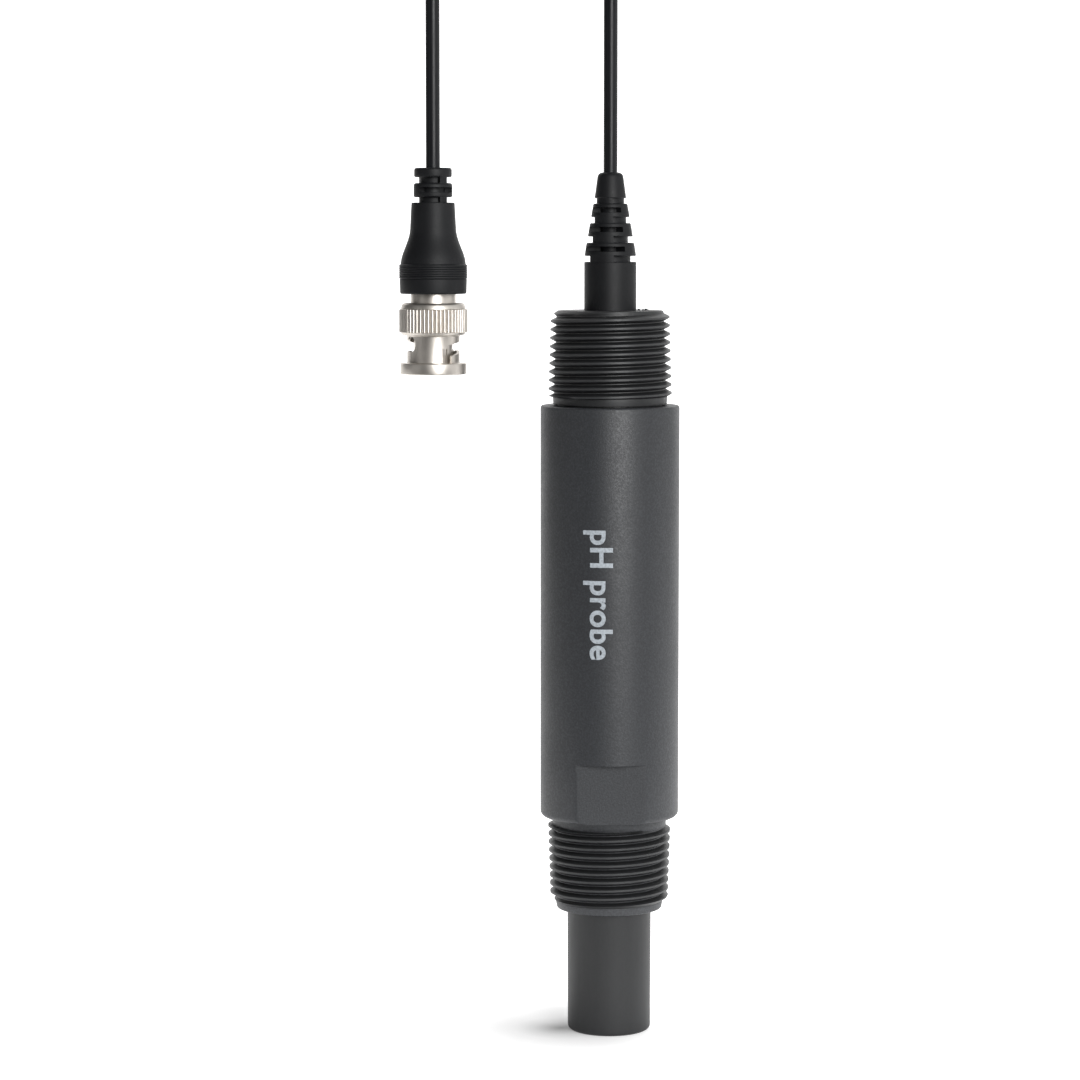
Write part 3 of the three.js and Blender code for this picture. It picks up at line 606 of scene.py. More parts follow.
def thread_shell(low_z, high_z, large_z, fade_low, fade_high, cone=None):
    """A closed taper thread between two heights; its crests are marked in a point attribute.

    The ridge fades over a share of a turn at each end. A cone (radius at the top, slope) cuts it back.
    """
    sizes = bpy.context.scene.thread_sizes
    root = sizes.crest_diameter / 2 - sizes.depth
    flank = (sizes.pitch - sizes.crest_flat - sizes.root_flat) / 2
    heights = [0.0, sizes.root_flat, sizes.root_flat + flank, sizes.root_flat + flank + sizes.crest_flat]
    ridge = [0.0, 0.0, 1.0, 1.0]
    outline = list(zip(ridge, heights)) + [(0.0, sizes.pitch)]
    turns = math.ceil((high_z - low_z) / sizes.pitch) + 3
    start_z = low_z - 2 * sizes.pitch
    bm = bmesh.new()
    verts = [bm.verts.new((root + share * sizes.depth, 0.0, start_z + height)) for share, height in outline]
    edges = [bm.edges.new(pair) for pair in zip(verts, verts[1:])]
    steps = turns * sizes.steps
    bmesh.ops.spin(bm, geom=verts + edges, cent=(0, 0, 0), axis=(0, 0, 1),
                   dvec=(0, 0, sizes.pitch / sizes.steps), angle=turns * FULL_TURN, steps=steps)
    bmesh.ops.remove_doubles(bm, verts=bm.verts, dist=1e-6)
    for z, away in ((low_z, -1), (high_z, 1)):
        geometry = bm.verts[:] + bm.edges[:] + bm.faces[:]
        bmesh.ops.bisect_plane(bm, geom=geometry, plane_co=(0, 0, z), plane_no=(0, 0, away),
                               clear_outer=True)
    crest = bm.verts.layers.float.new("crest")
    for vert in bm.verts:
        radius = math.hypot(vert.co.x, vert.co.y)
        share = (radius - root) / sizes.depth
        grown = min((vert.co.z - low_z) / (fade_low * sizes.pitch),
                    (high_z - vert.co.z) / (fade_high * sizes.pitch), 1.0)
        vert[crest] = share * max(grown, 0.0)
        wanted = root - abs(vert.co.z - large_z) * sizes.taper / 2 + sizes.depth * vert[crest]
        if cone:
            wanted = min(wanted, cone[0] + (high_z - vert.co.z) * cone[1])
        vert.co.x *= wanted / radius
        vert.co.y *= wanted / radius
    rims = [edge for edge in bm.edges if edge.is_boundary]
    bmesh.ops.holes_fill(bm, edges=rims, sides=0)
    bmesh.ops.recalc_face_normals(bm, faces=bm.faces)
    return bm


def paint_thread(bm):
    """Gives the faces of a thread the second finish of their piece."""
    crest = bm.verts.layers.float["crest"]
    for face in bm.faces:
        if any(vert[crest] > 0.01 for vert in face.verts):
            face.material_index = 1


# ---- operators ------------------------------------------------------------------------------------------
class MakeStage(bpy.types.Operator):
    """Pale sweep, four soft panels of light and the camera"""

    bl_idname = "probe.make_stage"
    bl_label = "Make stage"

    # the soft shadow beside the tip, painted into the floor: its middle, and how light the floor is painted
    # from there outwards
    PAINTED_SHADOW_LEFT = 10.5 * MM
    PAINTED_SHADOW = ((0.0, 0.14), (0.075, 0.23), (0.2, 0.38), (0.33, 0.48), (0.65, 0.61))
    SWEEP_FRONT, SWEEP_BACK, SWEEP_BEND, SWEEP_TOP, SWEEP_SIDE = -0.10, 0.6, 0.5, 2.2, 1.2

    def execute(self, context):
        sizes = context.scene.stage_sizes
        camera = bpy.data.objects.new("camera", bpy.data.cameras.new("camera"))
        camera.data.lens = sizes.lens
        camera.data.sensor_width = 36
        camera.data.clip_start = 0.01
        camera.location = (sizes.side, -sizes.distance, TIP_Z + sizes.height)
        camera.rotation_euler = (math.pi / 2 - sizes.pitch, 0.0, 0.0)
        context.scene.collection.objects.link(camera)
        context.scene.camera = camera
        self.sweep(sizes)
        self.world(sizes)
        self.light("key_panel", (0.28, -0.82, 0.32), (0.34, 0.5), sizes.key)
        self.light("side_panel", (0.85, -0.05, 0.35), (1.1, 0.8), sizes.side_light)
        self.light("left_panel", (-0.95, -0.62, 0.30), (0.5, 0.8), sizes.left_light)
        self.light("top_panel", (0.10, 0.0, 1.1), (0.5, 0.5), sizes.top)
        context.scene.view_settings.view_transform = "Standard"
        return {"FINISHED"}

    def sweep(self, sizes):
        """A white floor that curves up into a backdrop, and glows enough to stay white."""
        outline = [(self.SWEEP_FRONT, 0.0), (self.SWEEP_BACK, 0.0)]
        for step in range(1, 13):
            turn = step * math.pi / 24
            outline.append((self.SWEEP_BACK + self.SWEEP_BEND * math.sin(turn),
                            self.SWEEP_BEND - self.SWEEP_BEND * math.cos(turn)))
        outline.append((self.SWEEP_BACK + self.SWEEP_BEND, self.SWEEP_TOP))
        bm = bmesh.new()
        left, right = [[bm.verts.new((side, y, TIP_Z - 0.05 * MM + z)) for y, z in outline]
                       for side in (-self.SWEEP_SIDE, self.SWEEP_SIDE)]
        for index in range(len(outline) - 1):
            bm.faces.new((left[index], right[index], right[index + 1], left[index + 1]))
        for face in bm.faces:
            face.smooth = True
        mesh = bpy.data.meshes.new("sweep")
        bm.to_mesh(mesh)
        bm.free()
        mesh.materials.append(self.sweep_finish(sizes).material)
        sweep = bpy.data.objects.new("sweep", mesh)
        bpy.context.scene.collection.objects.link(sweep)

    def sweep_finish(self, sizes):
        """Glowing white, with the soft shadow beside the tip painted into its colour and glow."""
        made = Finish("sweep_white", roughness=0.9, emission_strength=1.0)
        spread = 1 / sizes.painted_shadow_spread
        place = made.place((spread, spread, 0.0), (self.PAINTED_SHADOW_LEFT * spread, 0.0, 0.0))
        away = made.node("ShaderNodeVectorMath", {"operation": "LENGTH"}, {0: place}, "Value")
        glow_and_painted_shadow = made.ramp(away, [*self.PAINTED_SHADOW, (1.0, sizes.sweep_glow)])
        # the painted shadow goes into both the floor's colour and its glow
        made.surface(base_color=glow_and_painted_shadow, emission_color=glow_and_painted_shadow)
        return made

    @staticmethod
    def world(sizes):
        """Dim surroundings, so that the panels shape the probe."""
        world = bpy.data.worlds.new("studio")
        world.use_nodes = True
        background = world.node_tree.nodes["Background"]
        background.inputs["Color"].default_value = (1.0, 1.0, 1.0, 1.0)
        background.inputs["Strength"].default_value = sizes.surroundings
        bpy.context.scene.world = world

    @staticmethod
    def aim(made, location):
        """Puts an object somewhere, facing the middle of the probe."""
        target = Vector((0.0, 0.0, (TIP_Z + CAP_TOP_Z) / 2))
        made.location = location
        made.rotation_euler = (Vector(location) - target).to_track_quat("Z", "Y").to_euler()

    def light(self, name, location, size, power):
        """A soft panel of light."""
        data = bpy.data.lights.new(name, "AREA")
        data.shape = "RECTANGLE"
        data.size, data.size_y = size
        data.energy = power
        panel = bpy.data.objects.new(name, data)
        self.aim(panel, location)
        bpy.context.scene.collection.objects.link(panel)


class MakeLead(bpy.types.Operator):
    """The whole lead as one curve: plumb riser, layered coil, plumb drop to the plug"""

    bl_idname = "probe.make_lead"
    bl_label = "Make lead"

    # degrees round the coil where a turn steps inwards or outwards in its layer, or on to the next
    # layer from the inner or the outer turn; each step is spread over this much before and after
    INWARD_STEP, OUTWARD_STEP, INNER_STEP, OUTER_STEP = 300, 180, 240, 360
    HALF_STEP = 26
    POINT_EVERY = 6

    def execute(self, context):
        sizes = context.scene.lead_sizes
        start = Vector((0.0, 0.0, BOOT_TOP_Z))
        points = self.straight(start, Vector((0.0, 0.0, COIL.z)), 16)
        points += self.coil(sizes)
        end = Vector((PLUG.x, PLUG.y, PLUG_TOP_Z - 0.3 * MM))
        points += self.straight(Vector((PLUG.x, PLUG.y, COIL.z)), end, 16) + [end]
        data = bpy.data.curves.new("lead", "CURVE")
        data.dimensions = "3D"
        data.bevel_depth = sizes.diameter / 2
        data.bevel_resolution = 4
        data.use_fill_caps = True
        spline = data.splines.new("POLY")
        spline.points.add(len(points) - 1)
        for point, place in zip(spline.points, points):
            point.co = (*place, 1.0)
        spline.use_smooth = True
        data.materials.append(finish("jacket_black"))
        lead = bpy.data.objects.new("lead", data)
        context.scene.collection.objects.link(lead)
        settle(lead, BODY, "cable_jacket", "cable_riser", "cable_coil", "cable_drop")
        return {"FINISHED"}

    @staticmethod
    def straight(first, last, count):
        """Points along a plumb run, without its last point."""
        return [first.lerp(last, step / count) for step in range(count)]

    @staticmethod
    def next_pass(angle, at):
        """The next time after an angle that the lead passes a place round the coil, in degrees."""
        turn = angle // 360 if angle % 360 < at else angle // 360 + 1
        return turn * 360 + at

    def steps(self, sizes, layers):
        """Each step of the lead through the coil: where, places inwards, layers on."""
        found = []
        angle = 0
        for layer in range(layers):
            inward = layer % 2 == 0
            across = sizes.turns_across if layer < layers - 2 else sizes.turns_across - 1
            for _ in range(across - 1):
                angle = self.next_pass(angle, self.INWARD_STEP if inward else self.OUTWARD_STEP)
                found.append((angle, 1 if inward else -1, 0))
            if layer < layers - 1:
                angle = self.next_pass(angle, self.INNER_STEP if inward else self.OUTER_STEP)
                found.append((angle, 0, 1))
        return found

    def coil(self, sizes):
        """Turns wound in flat layers, alternately inwards and outwards.

        A turn steps to the next place in its layer, or to the next layer, at one of four places
        round the coil, set so that a turn has always left its place before the next one comes.
        """
        pitch = sizes.turn_pitch
        layers = round((COIL_BACK_Y - COIL_FRONT_Y - sizes.diameter) / pitch) + 1
        steps = self.steps(sizes, layers)
        last = steps[-1][0]
        end = last // 360 * 360 + 180
        end += 360 if end < last + 30 else 0
        points = []
        for degree in range(0, end + 1, self.POINT_EVERY):
            place = depth = 0.0
            for centre, places, layers_on in steps:
                share = min(max((degree - centre + self.HALF_STEP) / (2 * self.HALF_STEP), 0.0), 1.0)
                share = share * share * (3 - 2 * share)
                place += places * share
                depth += layers_on * share
            radius = sizes.outer_turn - place * pitch
            turn = math.radians(degree)
            points.append(Vector((COIL.x + radius * math.cos(turn), -depth * pitch,
                                  COIL.z + radius * math.sin(turn))))
        return points


class MakeTie(bpy.types.Operator):
    """Nylon cable tie round the coil, with its ratchet head and cut tail"""

    bl_idname = "probe.make_tie"
    bl_label = "Make cable tie"

    def execute(self, context):
        box_low, box_high = low("cable_tie"), high("cable_tie")
        head_depth = 2.4 * MM
        centre = (box_low + box_high) / 2
        centre.y -= head_depth / 2
        half_y = (box_high.y - head_depth - box_low.y) / 2
        half_z = (box_high.z - box_low.z) / 2
        thickness, width = 1.0 * MM, 3.6 * MM
        bm = bmesh.new()
        block(bm, (width, 2 * half_y, 2 * half_z), (0, 0, 0))
        ends = [face for face in bm.faces if abs(face.normal.x) > 0.5]
        bmesh.ops.delete(bm, geom=ends, context="FACES_ONLY")
        corners = [edge for edge in bm.edges if len(edge.link_faces) == 2]
        bmesh.ops.bevel(bm, geom=corners, offset=2.2 * MM, segments=6, profile=0.5, affect="EDGES",
                        material=-1)
        bmesh.ops.recalc_face_normals(bm, faces=bm.faces)
        bmesh.ops.solidify(bm, geom=bm.faces[:], thickness=thickness)
        head = block(bm, (width + 1.4 * MM, head_depth, width + 1.2 * MM),
                     (0, half_y + head_depth / 2 - 0.2 * MM, 0))
        edges = list({edge for vert in head for edge in vert.link_edges})
        bmesh.ops.bevel(bm, geom=edges, offset=0.4 * MM, segments=2, profile=0.5, affect="EDGES",
                        material=-1)
        tail = (0, half_y + head_depth / 2, width / 2 + 0.8 * MM)
        block(bm, (width - 0.6 * MM, thickness, 2.6 * MM), tail)
        bmesh.ops.recalc_face_normals(bm, faces=bm.faces)
        tie = make_object("lead_tie", bm, ["tie_black"], centre)
        settle(tie, BODY, "tie_plastic", "cable_tie")
        return {"FINISHED"}


class MakeHousing(bpy.types.Operator):
    """Tip sleeve, process thread and barrel with its wrench flats"""

    bl_idname = "probe.make_housing"
    bl_label = "Make housing"

    def execute(self, context):
        sizes, thread = context.scene.probe_sizes, context.scene.thread_sizes
        barrel = self.barrel(sizes, thread)
        thread_top = sizes.stub - thread.neck_height
        join_bmesh(barrel, thread_shell(sizes.lead_height - 0.2 * MM, thread_top + 0.3 * MM, thread_top,
                                        0.5, 0.1))
        for face in barrel.faces:
            if face.calc_center_median().z < 0.0:
                face.material_index = 2
        paint_thread(barrel)
        made = make_object("probe_housing", barrel, ["moulded_grey", "thread_grey", "tip_grey"], sharp=28)
        settle(made, BODY, "housing_plastic", "housing")
        return {"FINISHED"}

    @staticmethod
    def barrel(sizes, thread):
        """The turned shape, with vertices pushed in to the flats."""
        radius, wall = BARREL_RADIUS, sizes.wall
        flat_top = sizes.stub + sizes.flat_height
        core = thread.crest_diameter / 2 - CORE_DEPTH
        bore = sizes.tip_bore / 2
        seat_z = low("junction_ring").z - 0.1 * MM
        corners = [
            (bore, TIP_Z, 0.5 * MM),
            (sizes.tip_diameter / 2, TIP_Z, sizes.tip_edge),
            (sizes.tip_top_diameter / 2, 0.0, 0.25 * MM),
            (sizes.lead_diameter / 2 - 0.3 * MM, 0.0, 0.35 * MM),
            (sizes.lead_diameter / 2, sizes.lead_height, 0.2 * MM),
            (core, sizes.lead_height, 0),
            (core, sizes.stub - thread.neck_height, 0),
            (thread.neck_diameter / 2, sizes.stub - thread.neck_height, 0.15 * MM),
            (thread.neck_diameter / 2, sizes.stub, 0.25 * MM),
            (radius, sizes.stub, sizes.shoulder_edge),
            (radius, flat_top - 0.12 * MM, 0),
            (radius, flat_top, 0),
            (radius, BARREL_TOP_Z, sizes.top_edge),
            (radius - wall, BARREL_TOP_Z, 0.3 * MM),
            (radius - wall, sizes.stub + thread.neck_height, 0),
            (bore + 0.7 * MM, sizes.stub + thread.neck_height, 0),
            (bore + 0.7 * MM, seat_z, 0),
            (bore, seat_z, 0),
        ]
        bm = bmesh.new()
        bm.verts.layers.float.new("crest")
        turned(bm, rounded(corners), steps=192)
        weld(bm)
        half = sizes.across_flats / 2
        for vert in bm.verts:
            outside = math.hypot(vert.co.x, vert.co.y) > half
            if outside and sizes.stub - MM < vert.co.z < flat_top - 0.06 * MM and abs(vert.co.y) > half:
                vert.co.y = math.copysign(half, vert.co.y)
        return bm


class MakeRearCap(bpy.types.Operator):
    """Cap with the upper pipe thread, its O-ring groove and the seat for the boot"""

    bl_idname = "probe.make_rear_cap"
    bl_label = "Make rear cap"

    # in mm: how far out from the boot each bead of moulding flash lies, and its radius
    FLASH = ((0.5, 0.30), (1.4, 0.24), (2.0, 0.34), (2.4, 0.2))

    def execute(self, context):
        sizes, thread = context.scene.probe_sizes, context.scene.thread_sizes
        neck_top = BARREL_TOP_Z + thread.neck_height
        core = thread.crest_diameter / 2 - CORE_DEPTH
        root_top = thread.crest_diameter / 2 - thread.depth - (CAP_TOP_Z - neck_top) * thread.taper / 2
        spigot = BARREL_RADIUS - sizes.wall - 0.2 * MM
        low_z = low("rear_threaded_cap").z
        groove = middle("cap_o_ring").z
        seat = high("strain_relief").x + 0.05 * MM
        hole = context.scene.lead_sizes.diameter / 2 + 0.3 * MM
        corners = [
            (spigot - 0.5 * MM, low_z, 0.2 * MM),
            (spigot, low_z + 0.6 * MM, 0.2 * MM),
            (spigot, groove - MM, 0),
            (spigot - 1.5 * MM, groove - MM, 0),
            (spigot - 1.5 * MM, groove + MM, 0),
            (spigot, groove + MM, 0),
            (spigot, BARREL_TOP_Z + 0.22 * MM, 0),
            (thread.neck_diameter / 2 - 0.1 * MM, BARREL_TOP_Z + 0.22 * MM, 0.1 * MM),
            (thread.neck_diameter / 2, neck_top, 0.12 * MM),
            (core, neck_top, 0),
            (core, CAP_TOP_Z - MM, 0),
            (root_top - 0.1 * MM, CAP_TOP_Z - MM, 0),
            (root_top - 0.15 * MM, CAP_TOP_Z, 0.2 * MM),
            (seat, CAP_TOP_Z, 0.15 * MM),
            (seat, CAP_TOP_Z - sizes.seat_depth, 0),
            (hole, CAP_TOP_Z - sizes.seat_depth, 0),
            (hole, low_z, 0),
        ]
        bm = bmesh.new()
        bm.verts.layers.float.new("crest")
        turned(bm, rounded(corners), steps=160)
        weld(bm)
        join_bmesh(bm, thread_shell(neck_top - 0.3 * MM, CAP_TOP_Z - 0.1 * MM, neck_top, 0.1, 0.05,
                                    (root_top - 0.1 * MM, 1.4)))
        paint_thread(bm)
        join_bmesh(bm, self.flash(seat))
        made = make_object("rear_cap", bm, ["cap_grey", "thread_grey"], sharp=28)
        settle(made, BODY, "cap_plastic", "rear_threaded_cap")
        return {"FINISHED"}

    def flash(self, seat):
        """A short row of flash beads on the cap's top, right of the boot."""
        bm = bmesh.new()
        for out, radius in map(scaled, self.FLASH):
            bead = bmesh.ops.create_icosphere(bm, subdivisions=3, radius=radius)["verts"]
            place = (seat + out, -0.5 * MM - out * 0.2, CAP_TOP_Z + radius * 0.35)
            bmesh.ops.translate(bm, verts=bead, vec=place)
        return bm


class MakeStrainRelief(bpy.types.Operator):
    """Segmented boot that guards the lead where it leaves the cap"""

    bl_idname = "probe.make_strain_relief"
    bl_label = "Make strain relief"

    # in mm: foot diameter and height above the cap; then groove height, groove core, ring height and the
    # ring's lower and upper diameter, for each ring and for the cone
    FOOT = (11.2, 10.4)
    RINGS = ((1.25, 8.7, 2.85, 11.1, 10.2), (1.3, 7.3, 2.9, 9.7, 8.7), (1.25, 6.8, 2.9, 8.3, 7.3))
    CONE = (1.15, 5.9, 5.5, 6.8, 5.3)
    SLOT_INNER = 2.1 * MM
    WEB_REACH = 0.35 * MM
    # degrees: where the webs stand and half of what a web and a slot take up
    WEB_TURN, WEB_HALF, SLOT_HALF = -113, 30, 58

    def execute(self, context):
        corners, webs, slots = self.outline(context.scene)
        bm = bmesh.new()
        turned(bm, rounded(corners), steps=120)
        weld(bm)
        made = make_object("strain_relief_boot", bm, ["boot_black"])
        turns = (self.WEB_TURN, self.WEB_TURN + 180)
        carve(made, [wedge_cut("web", *web, turn - self.WEB_HALF, turn + self.WEB_HALF, 0)
                     for web in webs for turn in turns], "UNION")
        carve(made, [wedge_cut("slot", *slot, turn - self.SLOT_HALF, turn + self.SLOT_HALF, 0.12 * MM)
                     for slot in slots for turn in turns])
        settle(made, BODY, "boot_rubber", "strain_relief")
        return {"FINISHED"}

    def outline(self, scene):
        """The boot's corners, and inner radius, outer radius, bottom and top of each web and slot."""
        foot_diameter, foot_height = scaled(self.FOOT)
        base = CAP_TOP_Z - scene.probe_sizes.seat_depth + 0.2 * MM
        bore = scene.lead_sizes.diameter / 2 + 0.02 * MM
        z = CAP_TOP_Z + foot_height
        corners = [(bore, base, 0), (foot_diameter / 2, base, 0.2 * MM), (foot_diameter / 2, z, 0.22 * MM)]
        webs, slots = [], []
        for groove, core, height, wide, narrow in map(scaled, self.RINGS):
            corners += [(core / 2, z, 0.1 * MM), (core / 2, z + groove, 0.1 * MM)]
            webs.append((core / 2 - 0.3 * MM, wide / 2 - 0.03 * MM, z - self.WEB_REACH,
                         z + groove + self.WEB_REACH))
            z += groove
            corners += [(wide / 2, z, 0.22 * MM), (narrow / 2, z + height, 0.34 * MM)]
            slots.append((self.SLOT_INNER, wide, z + height * 0.33, z + height * 0.72))
            z += height
        groove, core, height, wide, narrow = scaled(self.CONE)
        corners += [(core / 2, z, 0.1 * MM), (core / 2, z + groove, 0.1 * MM)]
        webs.append((core / 2 - 0.3 * MM, wide / 2 - 0.1 * MM, z - self.WEB_REACH,
                     z + groove + self.WEB_REACH))
        z += groove
        corners += [(wide / 2, z, 0.2 * MM), (narrow / 2, z + height, 1.1 * MM), (bore, z + height, 0)]
        return corners, webs, slots


class MakePlugBoot(bpy.types.Operator):
    """Moulded boot over the plug's crimp, with ribs, flare and a ringed neck"""

    bl_idname = "probe.make_plug_boot"
    bl_label = "Make plug boot"

    # heights above the boot's foot, then the boot's bore over the plug body
    BAND, RIB_TOP, FLARE, WAIST = 3.15 * MM, 6.2 * MM, 13.9 * MM, 18.95 * MM
    BORE = 4.9 * MM
    RIBS = 6
    # in mm, for each ring of the neck: groove height, groove core, ring height, ring diameter
    RINGS = ((1.1, 5.8, 2.95, 8.05), (1.2, 5.4, 1.95, 7.85))
    # degrees: where webs and slots stand, and half of what each takes up
    WEB_TURNS, WEB_HALF = (-53, 127), 13
    SLOT_TURNS, SLOT_HALF = (-73, 107), 60

    def execute(self, context):
        base = low("plug_boot").z - PLUG.z
        waist = base + self.WAIST
        cable = context.scene.lead_sizes.diameter / 2 + 0.02 * MM
        corners = self.ribbed_band(base) + self.flare(base) + self.neck(waist)
        corners += [(cable, PLUG_TOP_Z - PLUG.z, 0), (cable, base + 12 * MM, 0),
                    (self.BORE, base + 11 * MM, 0)]
        bm = bmesh.new()
        turned(bm, rounded(corners), steps=120)
        weld(bm)
        made = make_object("plug_boot_moulding", bm, ["boot_black"])
        webs = ((waist - 0.3 * MM, waist + 1.4 * MM), (waist + 3.75 * MM, waist + 5.55 * MM))
        carve(made, [wedge_cut("web", 2.4 * MM, 3.9 * MM, *web, turn - self.WEB_HALF, turn + self.WEB_HALF,
                               0)
                     for web in webs for turn in self.WEB_TURNS], "UNION")
        ring_low = waist + 1.1 * MM
        carve(made, [wedge_cut("slot", 2.6 * MM, 6 * MM, ring_low + 0.95 * MM, ring_low + 2.05 * MM,
                               turn - self.SLOT_HALF, turn + self.SLOT_HALF, 0.14 * MM)
                     for turn in self.SLOT_TURNS])
        shift(made, PLUG)
        settle(made, BODY, "boot_rubber", "plug_boot")
        return {"FINISHED"}

    def ribbed_band(self, base):
        """Plain band at the foot, then fine ribs."""
        band, rib = base + self.BAND, base + self.RIB_TOP
        corners = [(self.BORE, base, 0.2 * MM), (6.93 * MM, base, 0.35 * MM),
                   (7.03 * MM, band - 0.1 * MM, 0.12 * MM), (6.9 * MM, band, 0)]
        for index in range(self.RIBS):
            z = band + 0.1 * MM + (rib - band - 0.2 * MM) * index / self.RIBS
            step = (rib - band - 0.2 * MM) / self.RIBS
            corners += [(7.12 * MM, z + 0.05 * MM, 0.06 * MM), (7.12 * MM, z + step - 0.12 * MM, 0.06 * MM),
                        (6.98 * MM, z + step - 0.06 * MM, 0)]
        return corners + [(6.8 * MM, rib, 0)]

    def flare(self, base):
        """Soft curve in from the ribs to the waist."""
        rib, flare = base + self.RIB_TOP, base + self.FLARE
        corners = []
        for step in range(1, 15):
            share = step / 14
            ease = (1 + math.cos(math.pi * share ** 0.92)) / 2
            corners.append(((4.78 + 2.0 * ease) * MM, rib + (flare - rib) * share, 0))
        return corners

    def neck(self, waist):
        """Waist, then rings round the neck."""
        corners = [(4.5 * MM, waist, 0.15 * MM)]
        z = waist
        for groove, core, height, wide in map(scaled, self.RINGS):
            corners += [(core / 2, z, 0.1 * MM), (core / 2, z + groove, 0.1 * MM)]
            z += groove
            corners += [(wide / 2, z, 0.35 * MM), (wide / 2, z + height, 0.5 * MM)]
            z += height
        return corners


class MakeCouplingNut(bpy.types.Operator):
    """Bayonet coupling nut with its knurl, flange and two helical slots"""

    bl_idname = "probe.make_coupling_nut"
    bl_label = "Make coupling nut"

    RIDGES = 50
    # in mm: bottom and top of the knurl, radius of its crests, depth of its valleys
    KNURL = (8.8, 13.5, 7.15, 0.38)
    SLOT_TURNS = (-57, 123)

    def execute(self, context):
        bm = bmesh.new()
        turned(bm, rounded(self.outline(), 4), steps=self.RIDGES * 8)
        weld(bm)
        self.cut_knurl(bm)
        made = make_object("bayonet_nut", bm, ["nickel"])
        carve(made, [cutter for azimuth in self.SLOT_TURNS for cutter in self.slot_cutters(azimuth)])
        shift(made, PLUG)
        settle(made, NUT_BODY, "nickel_plate", "coupling_nut")
        return {"FINISHED"}

    def outline(self):
        """Flange, barrel, knurl and dome outside; bore, pocket for the rings and rear opening inside."""
        knurl_low, knurl_high, crest, depth = scaled(self.KNURL)
        top = high("coupling_nut").z - PLUG.z
        rear, bore, flange, barrel, pocket = 5.0 * MM, 4.9 * MM, 6.9 * MM, 5.5 * MM, 6.3 * MM
        pocket_low = low("retaining_ring").z - PLUG.z - 0.6 * MM
        pocket_high = high("thrust_washer").z - PLUG.z + 0.05 * MM
        knurl_rows = [(crest, knurl_low + (knurl_high - knurl_low) * step / 4, 0) for step in range(5)]
        return [
            (bore + 0.25 * MM, 0, 0.1 * MM), (flange, 0, 0.22 * MM), (flange, 2.35 * MM, 0.22 * MM),
            (barrel, 2.35 * MM, 0.15 * MM), (barrel, 8.0 * MM, 0.12 * MM), (6.55 * MM, 8.25 * MM, 0.15 * MM),
            (crest - depth, knurl_low - 0.1 * MM, 0), *knurl_rows,
            (crest - depth, knurl_high + 0.12 * MM, 0), (6.76 * MM, knurl_high + 0.3 * MM, 0.1 * MM),
            (6.5 * MM, top, 0.65 * MM), (rear + 0.25 * MM, top, 0.1 * MM), (rear, top - 0.25 * MM, 0),
            (rear, pocket_high, 0), (pocket, pocket_high, 0), (pocket, pocket_low, 0),
            (bore, pocket_low, 0), (bore, 0.25 * MM, 0),
        ]

    def cut_knurl(self, bm):
        """Draws the knurl's vertices in to make round-topped ridges."""
        knurl_low, knurl_high, crest, depth = scaled(self.KNURL)
        for vert in bm.verts:
            radius = math.hypot(vert.co.x, vert.co.y)
            if radius > crest - depth * 0.5 and knurl_low - 1e-6 < vert.co.z < knurl_high + 1e-6:
                turn = math.atan2(vert.co.y, vert.co.x) / FULL_TURN * self.RIDGES
                valley = abs(2 * (turn - math.floor(turn)) - 1) ** 2.6
                scale = (radius - depth * valley) / radius
                vert.co.x *= scale
                vert.co.y *= scale

    @staticmethod
    def slot_cutters(azimuth):
        """Entry groove, helical ramp and round detent of one slot."""
        width, entry, rise, turn = 2.4 * MM, 4.9 * MM, 1.4 * MM, 90
        inside, outside = 4.2 * MM, 6.35 * MM
        steps = 30
        ramp = bmesh.new()
        outline = [(inside, -width / 2), (outside, -width / 2), (outside, width / 2), (inside, width / 2)]
        verts = [ramp.verts.new((radius, 0.0, entry + z)) for radius, z in outline]
        face = ramp.faces.new(verts)
        bmesh.ops.spin(ramp, geom=[face], cent=(0, 0, 0), axis=(0, 0, 1), dvec=(0, 0, rise / steps),
                       angle=math.radians(turn), steps=steps)
        bmesh.ops.recalc_face_normals(ramp, faces=ramp.faces)
        bmesh.ops.rotate(ramp, verts=ramp.verts, cent=(0, 0, 0),
                         matrix=Matrix.Rotation(math.radians(azimuth), 3, "Z"))
        cutters = [make_object("ramp", ramp, [])]
        entry_cut = bmesh.new()
        block(entry_cut, (2.3 * MM, width * 0.92, entry + 3 * MM),
              (5.3 * MM, 0, (entry + width * 0.4 - 3 * MM) / 2), math.radians(azimuth))
        cutters.append(make_object("entry", entry_cut, []))
        hole = bmesh.new()
        matrix = (Matrix.Rotation(math.radians(azimuth + turn), 4, "Z")
                  @ Matrix.Translation((5.34 * MM, 0, entry + rise)) @ Matrix.Rotation(math.pi / 2, 4, "Y"))
        bmesh.ops.create_cone(hole, cap_ends=True, segments=41, radius1=1.6 * MM, radius2=1.6 * MM,
                              depth=2.5 * MM, matrix=matrix)
        cutters.append(make_object("detent", hole, []))
        return cutters


